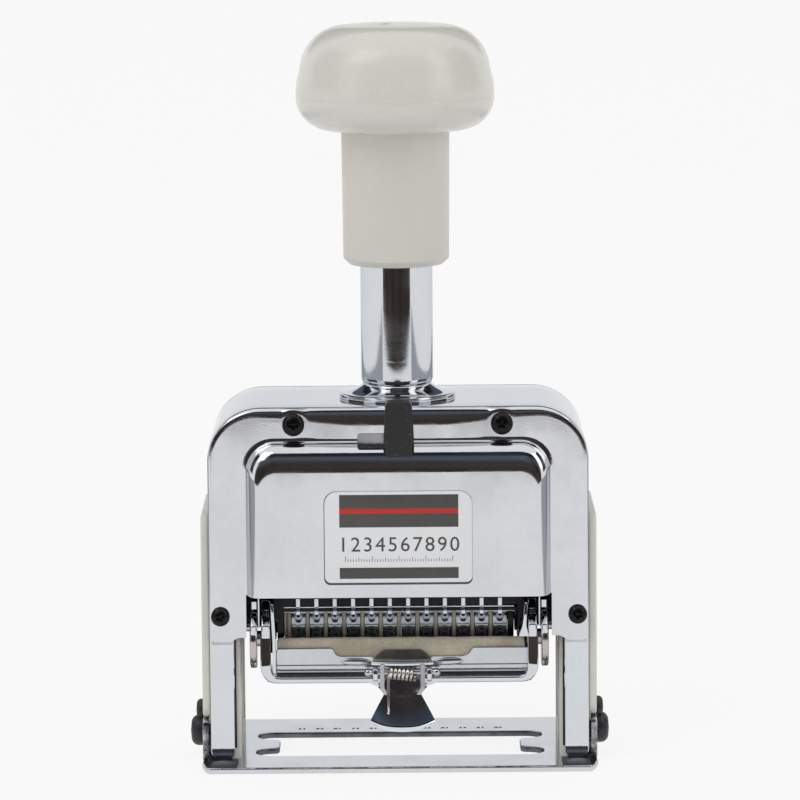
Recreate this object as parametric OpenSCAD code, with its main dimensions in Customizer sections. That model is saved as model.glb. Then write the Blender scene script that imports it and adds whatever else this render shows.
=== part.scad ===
// Hand numbering machine: a sprung plunger brings twelve number wheels down
// through a window in the base while the ink pad swings out of their way.
// X runs across the machine, Y to its back and Z up; the origin is the middle of the base's underside.

/* [Frame] */
// Width across the chromed frame
frame_w = 72; // [70:1:76]
// Depth of the frame between its covers
frame_d = 30; // [28:1:32]
// Height of the frame's top above the paper
frame_top = 68.8; // [66:0.2:72]
// Radius of the frame's two top corners
frame_r = 10; // [8:0.5:12]
// Thickness of the frame's sheet steel
frame_t = 1.2; // [1:0.1:1.4]
// Height of the bottom of each cover
cover_bottom = 25; // [24:0.5:27]
// Thickness of the covers
cover_t = 1; // [0.8:0.1:1.2]
// How far the front cover's panel stands out
bulge_d = 3.6; // [2:0.2:4]

/* [Base] */
// Width across the base's turned-up ears
base_w = 75.2; // [75:0.1:78]
// Depth of the base plate
base_d = 45; // [42:1:50]
// Thickness of the base plate
base_t = 1.2; // [1:0.1:1.4]
// Height of the base's ears
ear_h = 8.8; // [7:0.2:10]

/* [Handle] */
// Overall height with the handle up
overall_h = 140.3; // [139:0.1:144]
// Radius of the knob at its widest
knob_r = 18.9; // [17:0.1:20]
// Radius of the sleeve below the knob
sleeve_r = 10.3; // [9.8:0.1:11]
// Outer radius of the guide tube
tube_r = 6.9; // [6.6:0.1:7]
// Radius of the plunger rod
rod_r = 3; // [2.6:0.1:3]

/* [Wheels] */
// Number of figure wheels
wheel_n = 12; // [6:1:12]
// Distance from wheel to wheel
wheel_pitch = 3.5; // [3.4:0.05:3.5]
// Radius to the face of the type
wheel_r = 8.75; // [8.5:0.05:8.75]
// Width of a wheel's type
type_w = 2.7; // [2.4:0.1:2.9]
// Travel of the plunger from rest to paper
stroke = 18.35; // [18:0.05:18.35]

/* [Hidden] */
$fn = 48;
type_n = 10;
type_step = 360 / type_n;
WHEELS = [for (i = [1:wheel_n]) str("number_wheel_", i < 10 ? "0" : "", i)];

gap = 0.25;                            // clearance between parts that move past each other
half_w = frame_w / 2;
frame_y = frame_d / 2;
wall_x = half_w - frame_t;             // inner face of the frame's side walls
front_y = -frame_y - cover_t;          // front face of the front cover
panel_y = front_y - bulge_d;           // front face of the raised panel
channel_x = 28.9;                      // inner face of the guide channels
leg_x = 31;                            // inner edge of the frame's leg strips
mouth_x = 28.5;                        // half width of the covers' mouth
mouth_z = 33.2;                        // top of the covers' mouth
window_x = 27.6;                       // half width of the base window
window_front = -11.7;
window_rear = 9.5;
axle_z = stroke + wheel_r;             // height of the wheels' axle at rest
side_x = 22.6;                         // inner face of the wheel frame's side plates
side_t = 1.4;
bridge_z = 50;                         // underside of the wheel frame's bridge
pivot_y = -11.6;                       // axis on which the ink pad swings
pivot_z = 24;
pin_r = 1.5;                           // radius of its two pivot pins
pin_end = 33;                          // where the pins end in the guide channels
arm_x = 24.3;                          // inner face of the pad bracket's arms
arm_t = 2.2;
latch_y = -16.4;                       // axis of the pad latch
latch_z = 18.2;
latch_r = 0.6;                         // radius of the latch's pin
bar_front = -15.3;                     // front of the pad bracket's cross bar
tray_x = 24;                           // half width of the pad tray
tray_front = -13;
tray_rear = 6.2;
tray_floor = 15.3;
tray_t = 0.6;
tray_bend = -10.6;                     // where the tray's floor begins behind its sloping front edge
tongue_y = -5.6;                       // front of the wheel frame's tongues
tongue_w = 4.4;
button_y = -3.4;                       // middle of the stop buttons' stems
button_z = 4.6;
stem_r = 1.2;
shaft_r = 2;
comb_y = -9.5;                         // front of the detent bars

// Tools ---------------------------------------------------------------

// Moves and extrudes an outline drawn in X and Z, from y0 back by t
module along_y(y0, t) {
    translate([0, y0 + t, 0]) rotate([90, 0, 0]) linear_extrude(t) children();
}

// Moves and extrudes an outline drawn in Y and Z, from x0 outwards by t
module along_x(x0, t) {
    translate([x0, 0, 0]) rotate([90, 0, 90]) linear_extrude(t) children();
}

module x_rod(x0, x1, y, z, r) {
    translate([x0, y, z]) rotate([0, 90, 0]) cylinder(h = x1 - x0, r = r);
}

module y_rod(y0, y1, x, z, r) {
    translate([x, y1, z]) rotate([90, 0, 0]) cylinder(h = y1 - y0, r = r);
}

module both_sides() {
    children();
    mirror([1, 0, 0]) children();
}

// Outline from x0 to x1 and y0 to y1 with four round corners
module round_box(x0, x1, y0, y1, r) {
    translate([x0 + r, y0]) square([x1 - x0 - 2 * r, y1 - y0]);
    translate([x0, y0 + r]) square([x1 - x0, y1 - y0 - 2 * r]);
    for (x = [x0 + r, x1 - r], y = [y0 + r, y1 - r]) translate([x, y]) circle(r);
}

// Slot with round ends, w to each side of the middle
module long_slot(w, y0, y1) {
    r = (y1 - y0) / 2;
    translate([r - w, y0]) square([2 * (w - r), 2 * r]);
    for (x = [r - w, w - r]) translate([x, y0 + r]) circle(r);
}

// Upright outline with two round top corners
module arch(w, top, r, bottom) {
    translate([-w, bottom]) square([2 * w, top - r - bottom]);
    translate([r - w, top - r - 1]) square([2 * (w - r), r + 1]);
    for (x = [r - w, w - r]) translate([x, top - r]) circle(r, $fn = 64);
}

function arc(cx, cy, r, a0, a1, n) = [for (i = [0:n]) let (a = a0 + (a1 - a0) * i / n)
    [cx + r * cos(a), cy + r * sin(a)]];

// Round wire of radius r swept along pts, with sides faces round it
module wire(pts, r, sides = 6) {
    n = len(pts);
    dirs = [for (i = [0:n - 1]) let (d = pts[min(i + 1, n - 1)] - pts[max(i - 1, 0)]) d / norm(d)];
    side_of = function (d) let (s = cross(d, abs(d[0]) > 0.9 ? [0, 1, 0] : [1, 0, 0])) s / norm(s);
    rings = [for (i = [0:n - 1]) let (u = side_of(dirs[i]), v = cross(dirs[i], u))
        for (k = [0:sides - 1]) pts[i] + r * (cos(360 * k / sides) * u + sin(360 * k / sides) * v)];
    walls = [for (i = [0:n - 2], k = [0:sides - 1]) let (m = (k + 1) % sides)
        [i * sides + k, (i + 1) * sides + k, (i + 1) * sides + m, i * sides + m]];
    first = [for (k = [0:sides - 1]) k];
    last = [for (k = [sides - 1:-1:0]) (n - 1) * sides + k];
    polyhedron(rings, concat(walls, [first, last]), convexity = 6);
}

// Fixed parts -----------------------------------------------------------

// Sheet plate with a window for the type, two end tabs and an ear at each side
module base_plate() {
    corner = 5;
    front = -base_d / 2;
    tab_end = 23.2;
    tab_front = -5.1;
    tab_rear = 3.1;
    color("gainsboro") union() {
        linear_extrude(base_t) difference() {
            polygon([[-base_w / 2, front + corner], [corner / 3 - base_w / 2, front],
                [base_w / 2 - corner / 3, front], [base_w / 2, front + corner],
                [base_w / 2, -front - corner], [base_w / 2 - corner / 3, -front],
                [corner / 3 - base_w / 2, -front], [-base_w / 2, -front - corner]]);
            translate([-tab_end, window_front]) square([2 * tab_end, window_rear - window_front]);
            long_slot(window_x, tab_rear, window_rear);
            long_slot(window_x, window_front, tab_front);
        }
        both_sides() along_x(base_w / 2 - base_t, base_t) difference() {
            round_box(-14, 14, 0, ear_h, 0.8);
            round_box(button_y - 3.3, button_y + 3.3, base_t, ear_h + 4, 0.6);
        }
    }
}

// Inverted U of sheet with a turned-in strip round its front and back
module outer_frame() {
    strip_top = 64.6;
    foot = 1.7;
    color("silver") difference() {
        union() {
            along_y(-frame_y, frame_d) difference() {
                arch(half_w, frame_top, frame_r, base_t);
                arch(wall_x, frame_top - frame_t, frame_r - frame_t, base_t - 1);
            }
            for (y = [-frame_y, frame_y - frame_t]) along_y(y, frame_t) difference() {
                arch(half_w, frame_top, frame_r, base_t);
                arch(leg_x, strip_top, frame_r - 5, base_t - 1);
            }
        }
        for (y = [-frame_y - 1, frame_y - frame_t]) both_sides() along_y(y, frame_t + 1)
            polygon([[leg_x - 1, base_t - 1], [leg_x - 1, base_t + foot], [leg_x, base_t + foot],
                [leg_x + 0.9, base_t], [leg_x + 0.9, base_t - 1]]);
        translate([0, 0, frame_top - 5]) cylinder(h = 8, r = tube_r - 0.38);
        both_sides() x_rod(wall_x - 1, half_w + 1, button_y, button_z, stem_r + gap);
        screw_holes(1);
    }
}

upper_screw = [19.65, 65.7];
lower_screw = [33.85, 29.1];

// Holes for the eight cover screws
module screw_holes(r) {
    for (p = [upper_screw, lower_screw]) both_sides() {
        y_rod(-frame_y - 3, 3 - frame_y, p[0], p[1], r);
        y_rod(frame_y - 3, frame_y + 3, p[0], p[1], r);
    }
}

// One thin slice of the raised panel: half width, top, corner radius and place
module panel_slice(w, top, r, y, cut) {
    along_y(y, 0.1) difference() {
        arch(w, top, r, cut - 2);
        translate([-w - 1, cut - 4]) square([2 * w + 2, 4]);
    }
}

// Solid form of the raised panel, drawn in by t for its inner face
module panel_form(depth, t, cut) {
    y0 = -frame_y - cover_t + t;
    hull() {
        panel_slice(28.7 - t, 62.4 - t, 5.5, y0 + 1, cut, $fn = 32);
        panel_slice(28.5 - t, 62 - t, 5.5, y0 - 0.3 * depth, cut, $fn = 32);
        panel_slice(27.4 - t, 60.4 - t, 5, y0 - 0.8 * depth, cut, $fn = 32);
        panel_slice(25.9 - t, 58.4 - t, 4.4, y0 - depth, cut, $fn = 32);
    }
}

// Cover with a raised panel of the given depth over the works
module cover(depth) {
    difference() {
        union() {
            along_y(-frame_y - cover_t, cover_t) difference() {
                arch(half_w, frame_top, frame_r, cover_bottom);
                translate([-mouth_x, cover_bottom - 1]) square([2 * mouth_x, 24]);
                both_sides() translate([half_w - 1.2, cover_bottom - 1]) difference() {
                    translate([0, -1]) square([2, 3.2]);
                    translate([0, 2.2]) circle(1.2);
                }
            }
            panel_form(depth, 0, mouth_z);
        }
        panel_form(depth, cover_t, mouth_z - 3);
        along_y(-frame_y - cover_t - depth - 2, 12)
            polygon([[-24, mouth_z - 5], [24, mouth_z - 5], [24, mouth_z],
                [22, mouth_z + 0.01], [-22, mouth_z + 0.01], [-24, mouth_z]]);
        screw_holes(1);
    }
}

// Front cover, with the slot that the mode lever slides in
module front_cover() {
    color("silver") difference() {
        cover(bulge_d);
        along_y(front_y - 3, cover_t + 5) round_box(-7.6, 2.9, 61.2, 64, 0.5);
    }
}

module rear_cover() {
    color("silver") mirror([0, 1, 0]) cover(bulge_d - 1.2);
}

// Moulded cover on the outside of the right leg; the left one is its mirror
module side_cover() {
    along_x(half_w, 1.5) difference() {
        round_box(-14.5, 14.5, ear_h + 0.3, 48.2, 2.5);
        round_box(button_y - 2.6, button_y + 2.6, ear_h - 2, 11.6, 1.2);
    }
}

module left_side_cover() { color("ivory") mirror([1, 0, 0]) side_cover(); }
module right_side_cover() { color("ivory") side_cover(); }

// Moulded channel that the wheel frame's tongue slides in
module guide_channel() {
    top = frame_top - frame_r - 0.3;
    groove_x = 31.5;
    difference() {
        translate([channel_x, -frame_y + frame_t + 0.02, base_t])
            cube([wall_x - channel_x, frame_d - 2 * frame_t - 0.04, top - base_t]);
        translate([channel_x - 1, tongue_y - gap, base_t - 1])
            cube([groove_x - channel_x + 1, tongue_w + 2 * gap, top]);
        translate([channel_x - 1, 2, 4]) cube([groove_x - channel_x + 1, 9.5, top]);
        x_rod(channel_x - 1, wall_x + 1, button_y, button_z, stem_r + gap);
        x_rod(channel_x - 1, pin_end, pivot_y, pivot_z, pin_r);
    }
}

module left_guide_channel() { color("ivory") mirror([1, 0, 0]) guide_channel(); }
module right_guide_channel() { color("ivory") guide_channel(); }

// Drawn tube that the handle's sleeve slides over, closed at its foot round the rod
module guide_tube() {
    neck_r = tube_r - 0.4;
    bore = tube_r - 0.8;
    foot = 71.4;
    top = 107.6;
    color("silver") rotate_extrude($fn = 96) polygon(concat(
        [[rod_r + 0.08, 63.4], [neck_r, 63.4], [neck_r, foot]],
        arc(tube_r - 1.2, foot + 1.2, 1.2, -20, 0, 4),
        [[tube_r, top], [bore, top], [bore, foot + 1.2], [rod_r + 0.08, foot + 1.2]]));
}

// Dished collar at the foot of the tube, on a flat washer
module tube_collar() {
    neck_r = tube_r - 0.4;
    rim_r = 11.1;
    dish_r = 6.6;
    washer_t = 0.4;
    rim_t = 0.95;
    groove = 0.35;
    color("silver") rotate_extrude($fn = 96) translate([0, frame_top]) polygon(concat(
        [[neck_r, 0], [rim_r, 0], [rim_r, washer_t], [rim_r - groove, washer_t + 0.05],
            [rim_r - groove, washer_t + 0.15], [rim_r, washer_t + 0.2], [rim_r, rim_t]],
        arc(rim_r - 0.3, 7.61, dish_r, -92, -130.6, 8), [[neck_r, 2.6]]));
}

module tube_lock_nut() {
    nut_h = 3.4;
    color("dimgray") translate([0, 0, frame_top - frame_t - nut_h]) difference() {
        cylinder(h = nut_h, r = 9, $fn = 6);
        translate([0, 0, -1]) cylinder(h = nut_h + 2, r = tube_r - 0.4);
    }
}

// Pan-head screw pointing back along +Y, with its head's underside at y
module cover_screw(x, z, y, head_r) {
    translate([x, y, z]) rotate([90, 0, 0]) rotate_extrude() polygon(concat(
        [[0, -2.15], [1, -2.15], [1, 0], [head_r, 0], [head_r, 0.5]],
        arc(head_r - 1, 0.5, 1, 0, 70, 4), [[0, 1.55]]));
}

module front_upper_screws() {
    color("black") both_sides() cover_screw(upper_screw[0], upper_screw[1], front_y, 2.1);
}

module front_lower_screws() {
    color("black") both_sides() cover_screw(lower_screw[0], lower_screw[1], front_y, 1.8);
}

module rear_cover_screws() {
    color("black") for (p = [upper_screw, lower_screw]) both_sides()
        mirror([0, 1, 0]) cover_screw(p[0], p[1], front_y, 1.9);
}

module label_plate() {
    color("white") along_y(panel_y - 0.35, 0.35) round_box(-13.9, 13.9, 36.1, 53.5, 1.6);
}

// Pins fixed in the guide channels, on which the pad bracket swings, with a washer on each
module carrier_pivots() {
    washer_r = 5.5;
    color("silver") both_sides() {
        x_rod(arm_x + 0.1, pin_end, pivot_y, pivot_z, pin_r);
        difference() {
            x_rod(arm_x + arm_t + gap, mouth_x - gap, pivot_y, pivot_z, washer_r);
            x_rod(arm_x, channel_x, pivot_y, pivot_z, pin_r);
        }
    }
}

// Lever and buttons -----------------------------------------------------

lever_x = 0.2;

// Black lever that chooses how often each number is printed
module mode_lever() {
    color("dimgray") {
        along_y(front_y - 4.2, 3.9) polygon([[lever_x - 2.9, 62.2], [lever_x - 2.5, 69.8], [lever_x - 2, 70.4],
            [lever_x + 2, 70.4], [lever_x + 2.5, 69.8], [lever_x + 2.9, 62.2]]);
        translate([lever_x - 2.1, front_y - 4.2, 61.5]) cube([4.2, 5.6, 2.2]);
        translate([lever_x - 2.4, front_y - 4.2, 60.3]) cube([4.8, 0.9, 2.2]);
    }
}

// Steel slide behind the cover that the lever carries
module selector_plate() {
    color("silver") along_y(-frame_y + 0.4, 0.8) difference() {
        round_box(lever_x - 12, lever_x + 12, 54, 63.8, 1.5);
        for (x = [lever_x - 9, lever_x + 9]) translate([x, 57]) circle(1.2);
    }
}

// Two-lobed push button with its stem
module stop_button() {
    cap_x = base_w / 2 + 0.1;
    color("dimgray") {
        x_rod(31.9, cap_x + 0.1, button_y, button_z, stem_r);
        translate([cap_x, button_y, button_z]) rotate([0, 90, 0]) rotate_extrude() polygon(concat(
            [[0, 0], [2.95, 0]], arc(1.5, 1, 1.45, 0, 80, 6), [[0, 2.6]]));
        translate([cap_x, button_y, button_z + 4]) rotate([0, 90, 0]) rotate_extrude() polygon(concat(
            [[0, 0], [2.1, 0]], arc(1.2, 0.5, 0.9, 0, 80, 5), [[0, 1.5]]));
    }
}

module left_stop_button() { mirror([1, 0, 0]) stop_button(); }
module right_stop_button() { stop_button(); }

// Plunger -----------------------------------------------------------------

knob_foot = overall_h - 20.3;          // underside of the knob
knob_bore_top = 127.5;

// Moulded knob with a gently domed top
module handle_knob() {
    low_r = 6.4;
    high_r = 8.7;
    color("ivory") rotate_extrude($fn = 120) polygon(concat(
        [[tube_r + 0.3, knob_foot]],
        arc(knob_r - low_r, knob_foot + low_r + 0.1, low_r, -90, 12, 12),
        arc(knob_r - 0.8 - high_r, overall_h - 9.1, high_r, 4, 80, 12),
        [[6, overall_h - 0.12], [0, overall_h], [0, 134], [5, 134], [5, knob_bore_top],
            [tube_r + 0.3, knob_bore_top]]));
}

module handle_sleeve() {
    foot = 94.4;
    color("ivory") rotate_extrude($fn = 96) polygon([[tube_r + 0.3, foot], [sleeve_r - 1.3, foot],
        [sleeve_r - 0.15, foot + 1.1], [sleeve_r, knob_foot], [tube_r + 0.3, knob_foot]]);
}

// Threaded brass insert that joins the knob to the rod
module knob_insert() {
    color("goldenrod") translate([0, 0, knob_bore_top]) difference() {
        cylinder(h = 6.5, r = 5);
        translate([0, 0, -1]) cylinder(h = 6.5, r = rod_r);
    }
}

module plunger_rod() {
    color("silver") union() {
        translate([0, 0, bridge_z]) cylinder(h = 133 - bridge_z, r = rod_r);
        translate([0, 0, bridge_z + 2]) cylinder(h = 1.6, r = 5);
        translate([0, 0, bridge_z - 1.6]) cylinder(h = 1.6, r = 4.4);
    }
}

// Coil spring round the rod, inside the guide tube
module return_spring() {
    turns = 13;
    coil_r = 4.9;
    foot = 73.2;
    top = knob_bore_top - 0.6;
    steps = 14 * turns;
    color("darkgray") wire([for (i = [0:steps]) let (a = 360 * turns * i / steps)
        [coil_r * cos(a), coil_r * sin(a), foot + (top - foot) * i / steps]], 0.5);
}

// Side plate outline of the wheel frame
module side_outline() {
    translate([0, axle_z]) circle(4.2);
    polygon([[-6.5, bridge_z + 2], [-6.5, 34.5], [-9.9, 32.6], [-9.9, 27.4], [-3.9, axle_z - 1.6],
        [3.9, axle_z - 1.6], [6.5, 31], [6.5, bridge_z + 2]]);
}

// Side plates, bridge and the tongues that run in the guide channels
module wheel_frame() {
    tongue_foot = 20;
    tongue_end = 31.25;
    color("dimgray") difference() {
        union() {
            both_sides() {
                along_x(side_x, side_t) side_outline();
                translate([side_x + side_t - 0.1, tongue_y, tongue_foot])
                    cube([tongue_end - side_x - side_t + 0.1, tongue_w, bridge_z + 2 - tongue_foot]);
            }
            translate([-side_x - 0.1, -6.5, bridge_z]) cube([2 * side_x + 0.2, 13, 2]);
        }
        translate([0, 0, bridge_z - 1]) cylinder(h = 4, r = rod_r);
        x_rod(-side_x - 3, side_x + 3, 0, axle_z, shaft_r);
        both_sides() translate([tongue_end - 1.2, tongue_y - 1, 21.4]) cube([2, tongue_w + 2, 3.1]);
    }
}

module wheel_shaft() {
    color("silver") x_rod(-arm_x + 0.05, arm_x - 0.05, 0, axle_z, shaft_r);
}

// Collars that hold the wheels sideways on the shaft
module shaft_clips() {
    color("silver") both_sides() difference() {
        x_rod(22.2, side_x, 0, axle_z, 4);
        x_rod(21, side_x + 1, 0, axle_z, shaft_r);
    }
}

function wheel_x(i) = (i - (wheel_n - 1) / 2) * wheel_pitch;

module wheel_spacers() {
    spacer_w = wheel_pitch - type_w - 0.2;
    color("cornsilk") for (i = [0:wheel_n]) difference() {
        x_rod(wheel_x(i - 0.5) - spacer_w / 2, wheel_x(i - 0.5) + spacer_w / 2, 0, axle_z, wheel_r - 1);
        x_rod(wheel_x(i - 0.5) - 1, wheel_x(i - 0.5) + 1, 0, axle_z, shaft_r);
    }
}

// Figure wheel with ten blocks of type; each block's foot runs on past its figure to the next notch
module number_wheel(i) {
    root_r = 7.1;
    shoulder_r = 8.3;
    face_a = 9.5;
    block = [[root_r, -22.5], [shoulder_r, -20], [shoulder_r, -face_a], [wheel_r, -face_a], [wheel_r, 0],
        [wheel_r, face_a], [shoulder_r, face_a + 1], [root_r, face_a + 2]];
    color("gray") difference() {
        along_x(wheel_x(i) - type_w / 2, type_w) translate([0, axle_z])
            polygon([for (k = [0:type_n - 1], p = block)
                let (a = k * type_step - 90 + p[1]) p[0] * [cos(a), sin(a)]]);
        x_rod(wheel_x(i) - type_w, wheel_x(i) + type_w, 0, axle_z, shaft_r + 0.06);
    }
}

// One leaf spring for each wheel, bent back into the notch above the figure
module detent_springs() {
    leaf_w = 1;
    color("silver") for (i = [0:wheel_n - 1]) along_x(wheel_x(i) - leaf_w / 2, leaf_w)
        polygon([[comb_y, 31.2], [comb_y - 0.4, 31.2], [comb_y - 0.4, 28.3], [-8.95, 27.7], [-8.85, 28.2],
            [comb_y, 28.5]]);
}

// Two bars across the front of the wheels that carry and guard the leaf springs
module detent_bars() {
    color("dimgray") for (z = [[28.6, 29.35], [29.8, 31.4]])
        translate([-side_x, comb_y, z[0]]) cube([2 * side_x, 0.6, z[1] - z[0]]);
}

// Rocking yoke on the shaft that carries the drive pawl
module pawl_carrier() {
    yoke_x = 21.5;
    color("silver") both_sides() difference() {
        along_x(yoke_x, 0.5) {
            translate([0, axle_z]) circle(3.6);
            translate([0, axle_z - 1.6]) square([11.4, 3.2]);
        }
        x_rod(yoke_x - 1, yoke_x + 2, 0, axle_z, shaft_r + 0.06);
    }
}

// Comb with a tooth for each wheel
module drive_pawl() {
    bar_x = 21.5;
    color("darkgray") union() {
        translate([-bar_x, 10, axle_z - 1.6]) cube([2 * bar_x, 1.4, 3.2]);
        for (i = [0:wheel_n - 1]) along_x(wheel_x(i) - 0.9, 1.8)
            polygon([[10, axle_z - 1.4], [10, axle_z + 1.4], [wheel_r + 0.2, axle_z - 0.9]]);
    }
}

// Ink pad and its carrier -------------------------------------------------

// Bent bracket that hangs from the pivot pins: arms, thin cheeks inside them, a cross bar and two ledges
module pad_bracket() {
    ledge_z = tray_floor - 0.6;
    bar_z = 15.8;
    bar_top = 17.4;
    end = arm_x + arm_t;
    bend_r = 3.6;
    cheek_x = side_x + side_t + 0.2;
    color("silver") union() {
        intersection() {
            union() {
                difference() {
                    both_sides() {
                        along_x(arm_x, arm_t) {
                            translate([pivot_y, pivot_z]) circle(4.6);
                            polygon([[bar_front, bar_z], [-9.5, ledge_z], [-8.4, 19], [-7.2, 22.9],
                                [-15.6, 22.2], [bar_front, 20]]);
                        }
                        along_x(cheek_x, 0.5) {
                            translate([pivot_y, pivot_z]) circle(5.6);
                            polygon([[bar_front, bar_z], [-8.5, ledge_z], [-7, 19], [-6.4, 22], [-16.9, 22],
                                [-16, 19]]);
                        }
                    }
                    x_rod(-end - 1, end + 1, pivot_y, pivot_z, pin_r + 0.05);
                }
                translate([-end, bar_front, bar_z]) cube([2 * end, 1.5, bar_top - bar_z]);
                both_sides() translate([22, tray_bend, ledge_z]) cube([end - 22, 5 - tray_bend, 0.6]);
            }
            along_y(-25, 40) polygon(concat(arc(bend_r - end, ledge_z + bend_r, bend_r, 180, 270, 8),
                arc(end - bend_r, ledge_z + bend_r, bend_r, 270, 360, 8), [[end, 40], [-end, 40]]));
        }
        both_sides() {
            along_y(bar_front, 1) polygon([[3.6, bar_z + 0.2], [3.6, 15], [4.6, 15.1], [6.3, bar_z + 0.2]]);
            along_x(4.7, 0.8) difference() {
                union() {
                    translate([latch_y, latch_z]) circle(1);
                    translate([latch_y - 0.6, latch_z - 1.9]) square([bar_front - latch_y + 1, 2.9]);
                }
                translate([latch_y, latch_z]) circle(latch_r);
            }
        }
    }
}

// Sheet tray with a notched front wall that the latch hooks over and a sloping edge below it
module pad_tray() {
    wall_h = 22.7;
    wall_foot = 17.4;
    rim = 17.8;
    color("silver") union() {
        along_x(-tray_x, 2 * tray_x) polygon([[tray_front, wall_foot], [tray_bend - 0.3, tray_floor],
            [tray_rear, tray_floor], [tray_rear, tray_floor + tray_t], [tray_bend, tray_floor + tray_t],
            [tray_front + tray_t, wall_foot + 0.3], [tray_front + tray_t, wall_foot + 0.5],
            [tray_front, wall_foot + 0.5]]);
        along_y(tray_front, tray_t) polygon([[-tray_x, wall_foot + 0.3], [tray_x, wall_foot + 0.3],
            [tray_x, wall_h - 1], [tray_x - 1, wall_h], [13, wall_h], [11.8, 20.8], [9.5, 19.75], [-9.5, 19.75],
            [-11.8, 20.8], [-13, wall_h], [1 - tray_x, wall_h], [-tray_x, wall_h - 1]]);
        translate([-tray_x, tray_rear - tray_t, tray_floor]) cube([2 * tray_x, tray_t, rim - tray_floor]);
        both_sides() along_x(tray_x - tray_t, tray_t) polygon([[tray_front, rim], [tray_front, wall_foot],
            [tray_bend - 0.3, tray_floor], [tray_rear, tray_floor], [tray_rear, rim]]);
    }
}

// Felt pad, folded up behind the tray's front wall
module ink_pad() {
    pad_x = tray_x - tray_t;
    y0 = tray_front + tray_t;
    y1 = tray_rear - tray_t;
    z0 = tray_floor + tray_t;
    color("wheat") along_x(-pad_x, 2 * pad_x) polygon([[y0, 17.7], [tray_bend, z0], [y1, z0], [y1, 17.9],
        [y1 - 0.3, 18.1], [y0 + 1.6, 18.1], [y0 + 1.4, 18.4], [y0 + 1.3, 22.8], [y0 + 1, 23.2],
        [y0 + 0.3, 23.2], [y0, 22.9]]);
}

module latch_pin() {
    color("silver") {
        x_rod(-6.3, 6.3, latch_y, latch_z, latch_r);
        both_sides() x_rod(5.55, 6.4, latch_y, latch_z, 0.85);
    }
}

// Torsion spring on the latch's pin, with one leg down the tab
module latch_spring() {
    coil_r = 1.1;
    coil_x = 2.4;
    turns = 5.75;
    steps = 69;
    color("lightgray") wire(concat(
        [for (i = [steps:-1:0]) let (a = 90 - 360 * turns * i / steps)
            [2 * coil_x * i / steps - coil_x, latch_y + coil_r * cos(a), latch_z + coil_r * sin(a)]],
        [for (p = [[-2.65, -0.7, 0.9], [-2.85, -1.2, 0.2], [-2.9, -1.5, -0.8], [-2.9, -1.8, -5],
            [-2.9, -1.95, -8.2]])
            [p[0], latch_y + p[1], latch_z + p[2]]]), 0.27);
}

// Sheet latch: two ears on the pin, a lip over the tray's wall and a tab for the finger
module pad_latch() {
    web_z = 19.65;
    color("silver") {
        intersection() {
            along_x(-7, 14)
                polygon([[-17.7, 14.6], [-17.9, 9.6], [-18.9, 7], [-18.3, 6.8], [-17.2, 9.4], [-17, 14.6]]);
            along_y(-20, 4)
                polygon(concat([[-4.2, 13.9], [-4.2, 14.6], [4.2, 14.6], [4.2, 13.9], [3.6, 13.3]],
                    arc(0, 15.8, 8.8, -47.6, -132.4, 10), [[-3.6, 13.3]]));
        }
        both_sides() along_x(3.3, 0.9) difference() {
            polygon([[-17.7, 14.2], [-17.5, web_z + 0.7], [-15.6, web_z + 0.7], [-15.6, 18], [-16.6, 15],
                [-17, 14.2]]);
            translate([latch_y, latch_z]) circle(latch_r + 0.05);
        }
        translate([-6.8, -17.5, web_z]) cube([13.6, 4.25, 0.7]);
        along_y(-13.85, 0.6) polygon([[-6.4, web_z], [6.4, web_z], [5.6, 21.6], [-5.6, 21.6]]);
    }
}

base_plate();
outer_frame();
front_cover();
rear_cover();
left_side_cover();
right_side_cover();
left_guide_channel();
right_guide_channel();
guide_tube();
tube_collar();
tube_lock_nut();
front_upper_screws();
front_lower_screws();
rear_cover_screws();
label_plate();
carrier_pivots();
mode_lever();
selector_plate();
left_stop_button();
right_stop_button();
handle_knob();
handle_sleeve();
knob_insert();
plunger_rod();
return_spring();
wheel_frame();
wheel_shaft();
shaft_clips();
wheel_spacers();
detent_springs();
detent_bars();
pawl_carrier();
drive_pawl();
pad_bracket();
pad_tray();
ink_pad();
latch_pin();
latch_spring();
pad_latch();
for (i = [0:wheel_n - 1]) number_wheel(i);
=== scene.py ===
# Hand numbering machine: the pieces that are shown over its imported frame, their finishes and the studio
import math

import bmesh
import bpy
from mathutils import Matrix, Vector, noise


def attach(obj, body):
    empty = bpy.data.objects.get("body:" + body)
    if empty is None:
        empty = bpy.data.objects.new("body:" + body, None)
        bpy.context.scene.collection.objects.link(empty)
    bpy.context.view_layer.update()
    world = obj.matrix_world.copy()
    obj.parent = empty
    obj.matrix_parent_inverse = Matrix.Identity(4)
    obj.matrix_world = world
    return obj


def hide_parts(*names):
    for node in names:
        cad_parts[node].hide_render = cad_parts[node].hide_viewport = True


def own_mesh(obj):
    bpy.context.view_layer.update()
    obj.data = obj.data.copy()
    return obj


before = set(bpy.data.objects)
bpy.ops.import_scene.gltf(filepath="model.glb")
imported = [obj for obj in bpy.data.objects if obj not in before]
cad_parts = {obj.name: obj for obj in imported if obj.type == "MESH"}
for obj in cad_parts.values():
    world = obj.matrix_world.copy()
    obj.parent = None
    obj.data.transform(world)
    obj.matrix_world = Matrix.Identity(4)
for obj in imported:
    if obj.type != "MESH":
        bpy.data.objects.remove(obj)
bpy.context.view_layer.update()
mm = 0.001
print("frame loaded,", len(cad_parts), "nodes")

# Camera, lamps and studio

cameraSettings = {
    "place": (0.0005, -0.900, 0.19544),
    "pitchDown": 8.0575,
    "roll": -0.45,
    "lens": 213.44,
}

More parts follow.
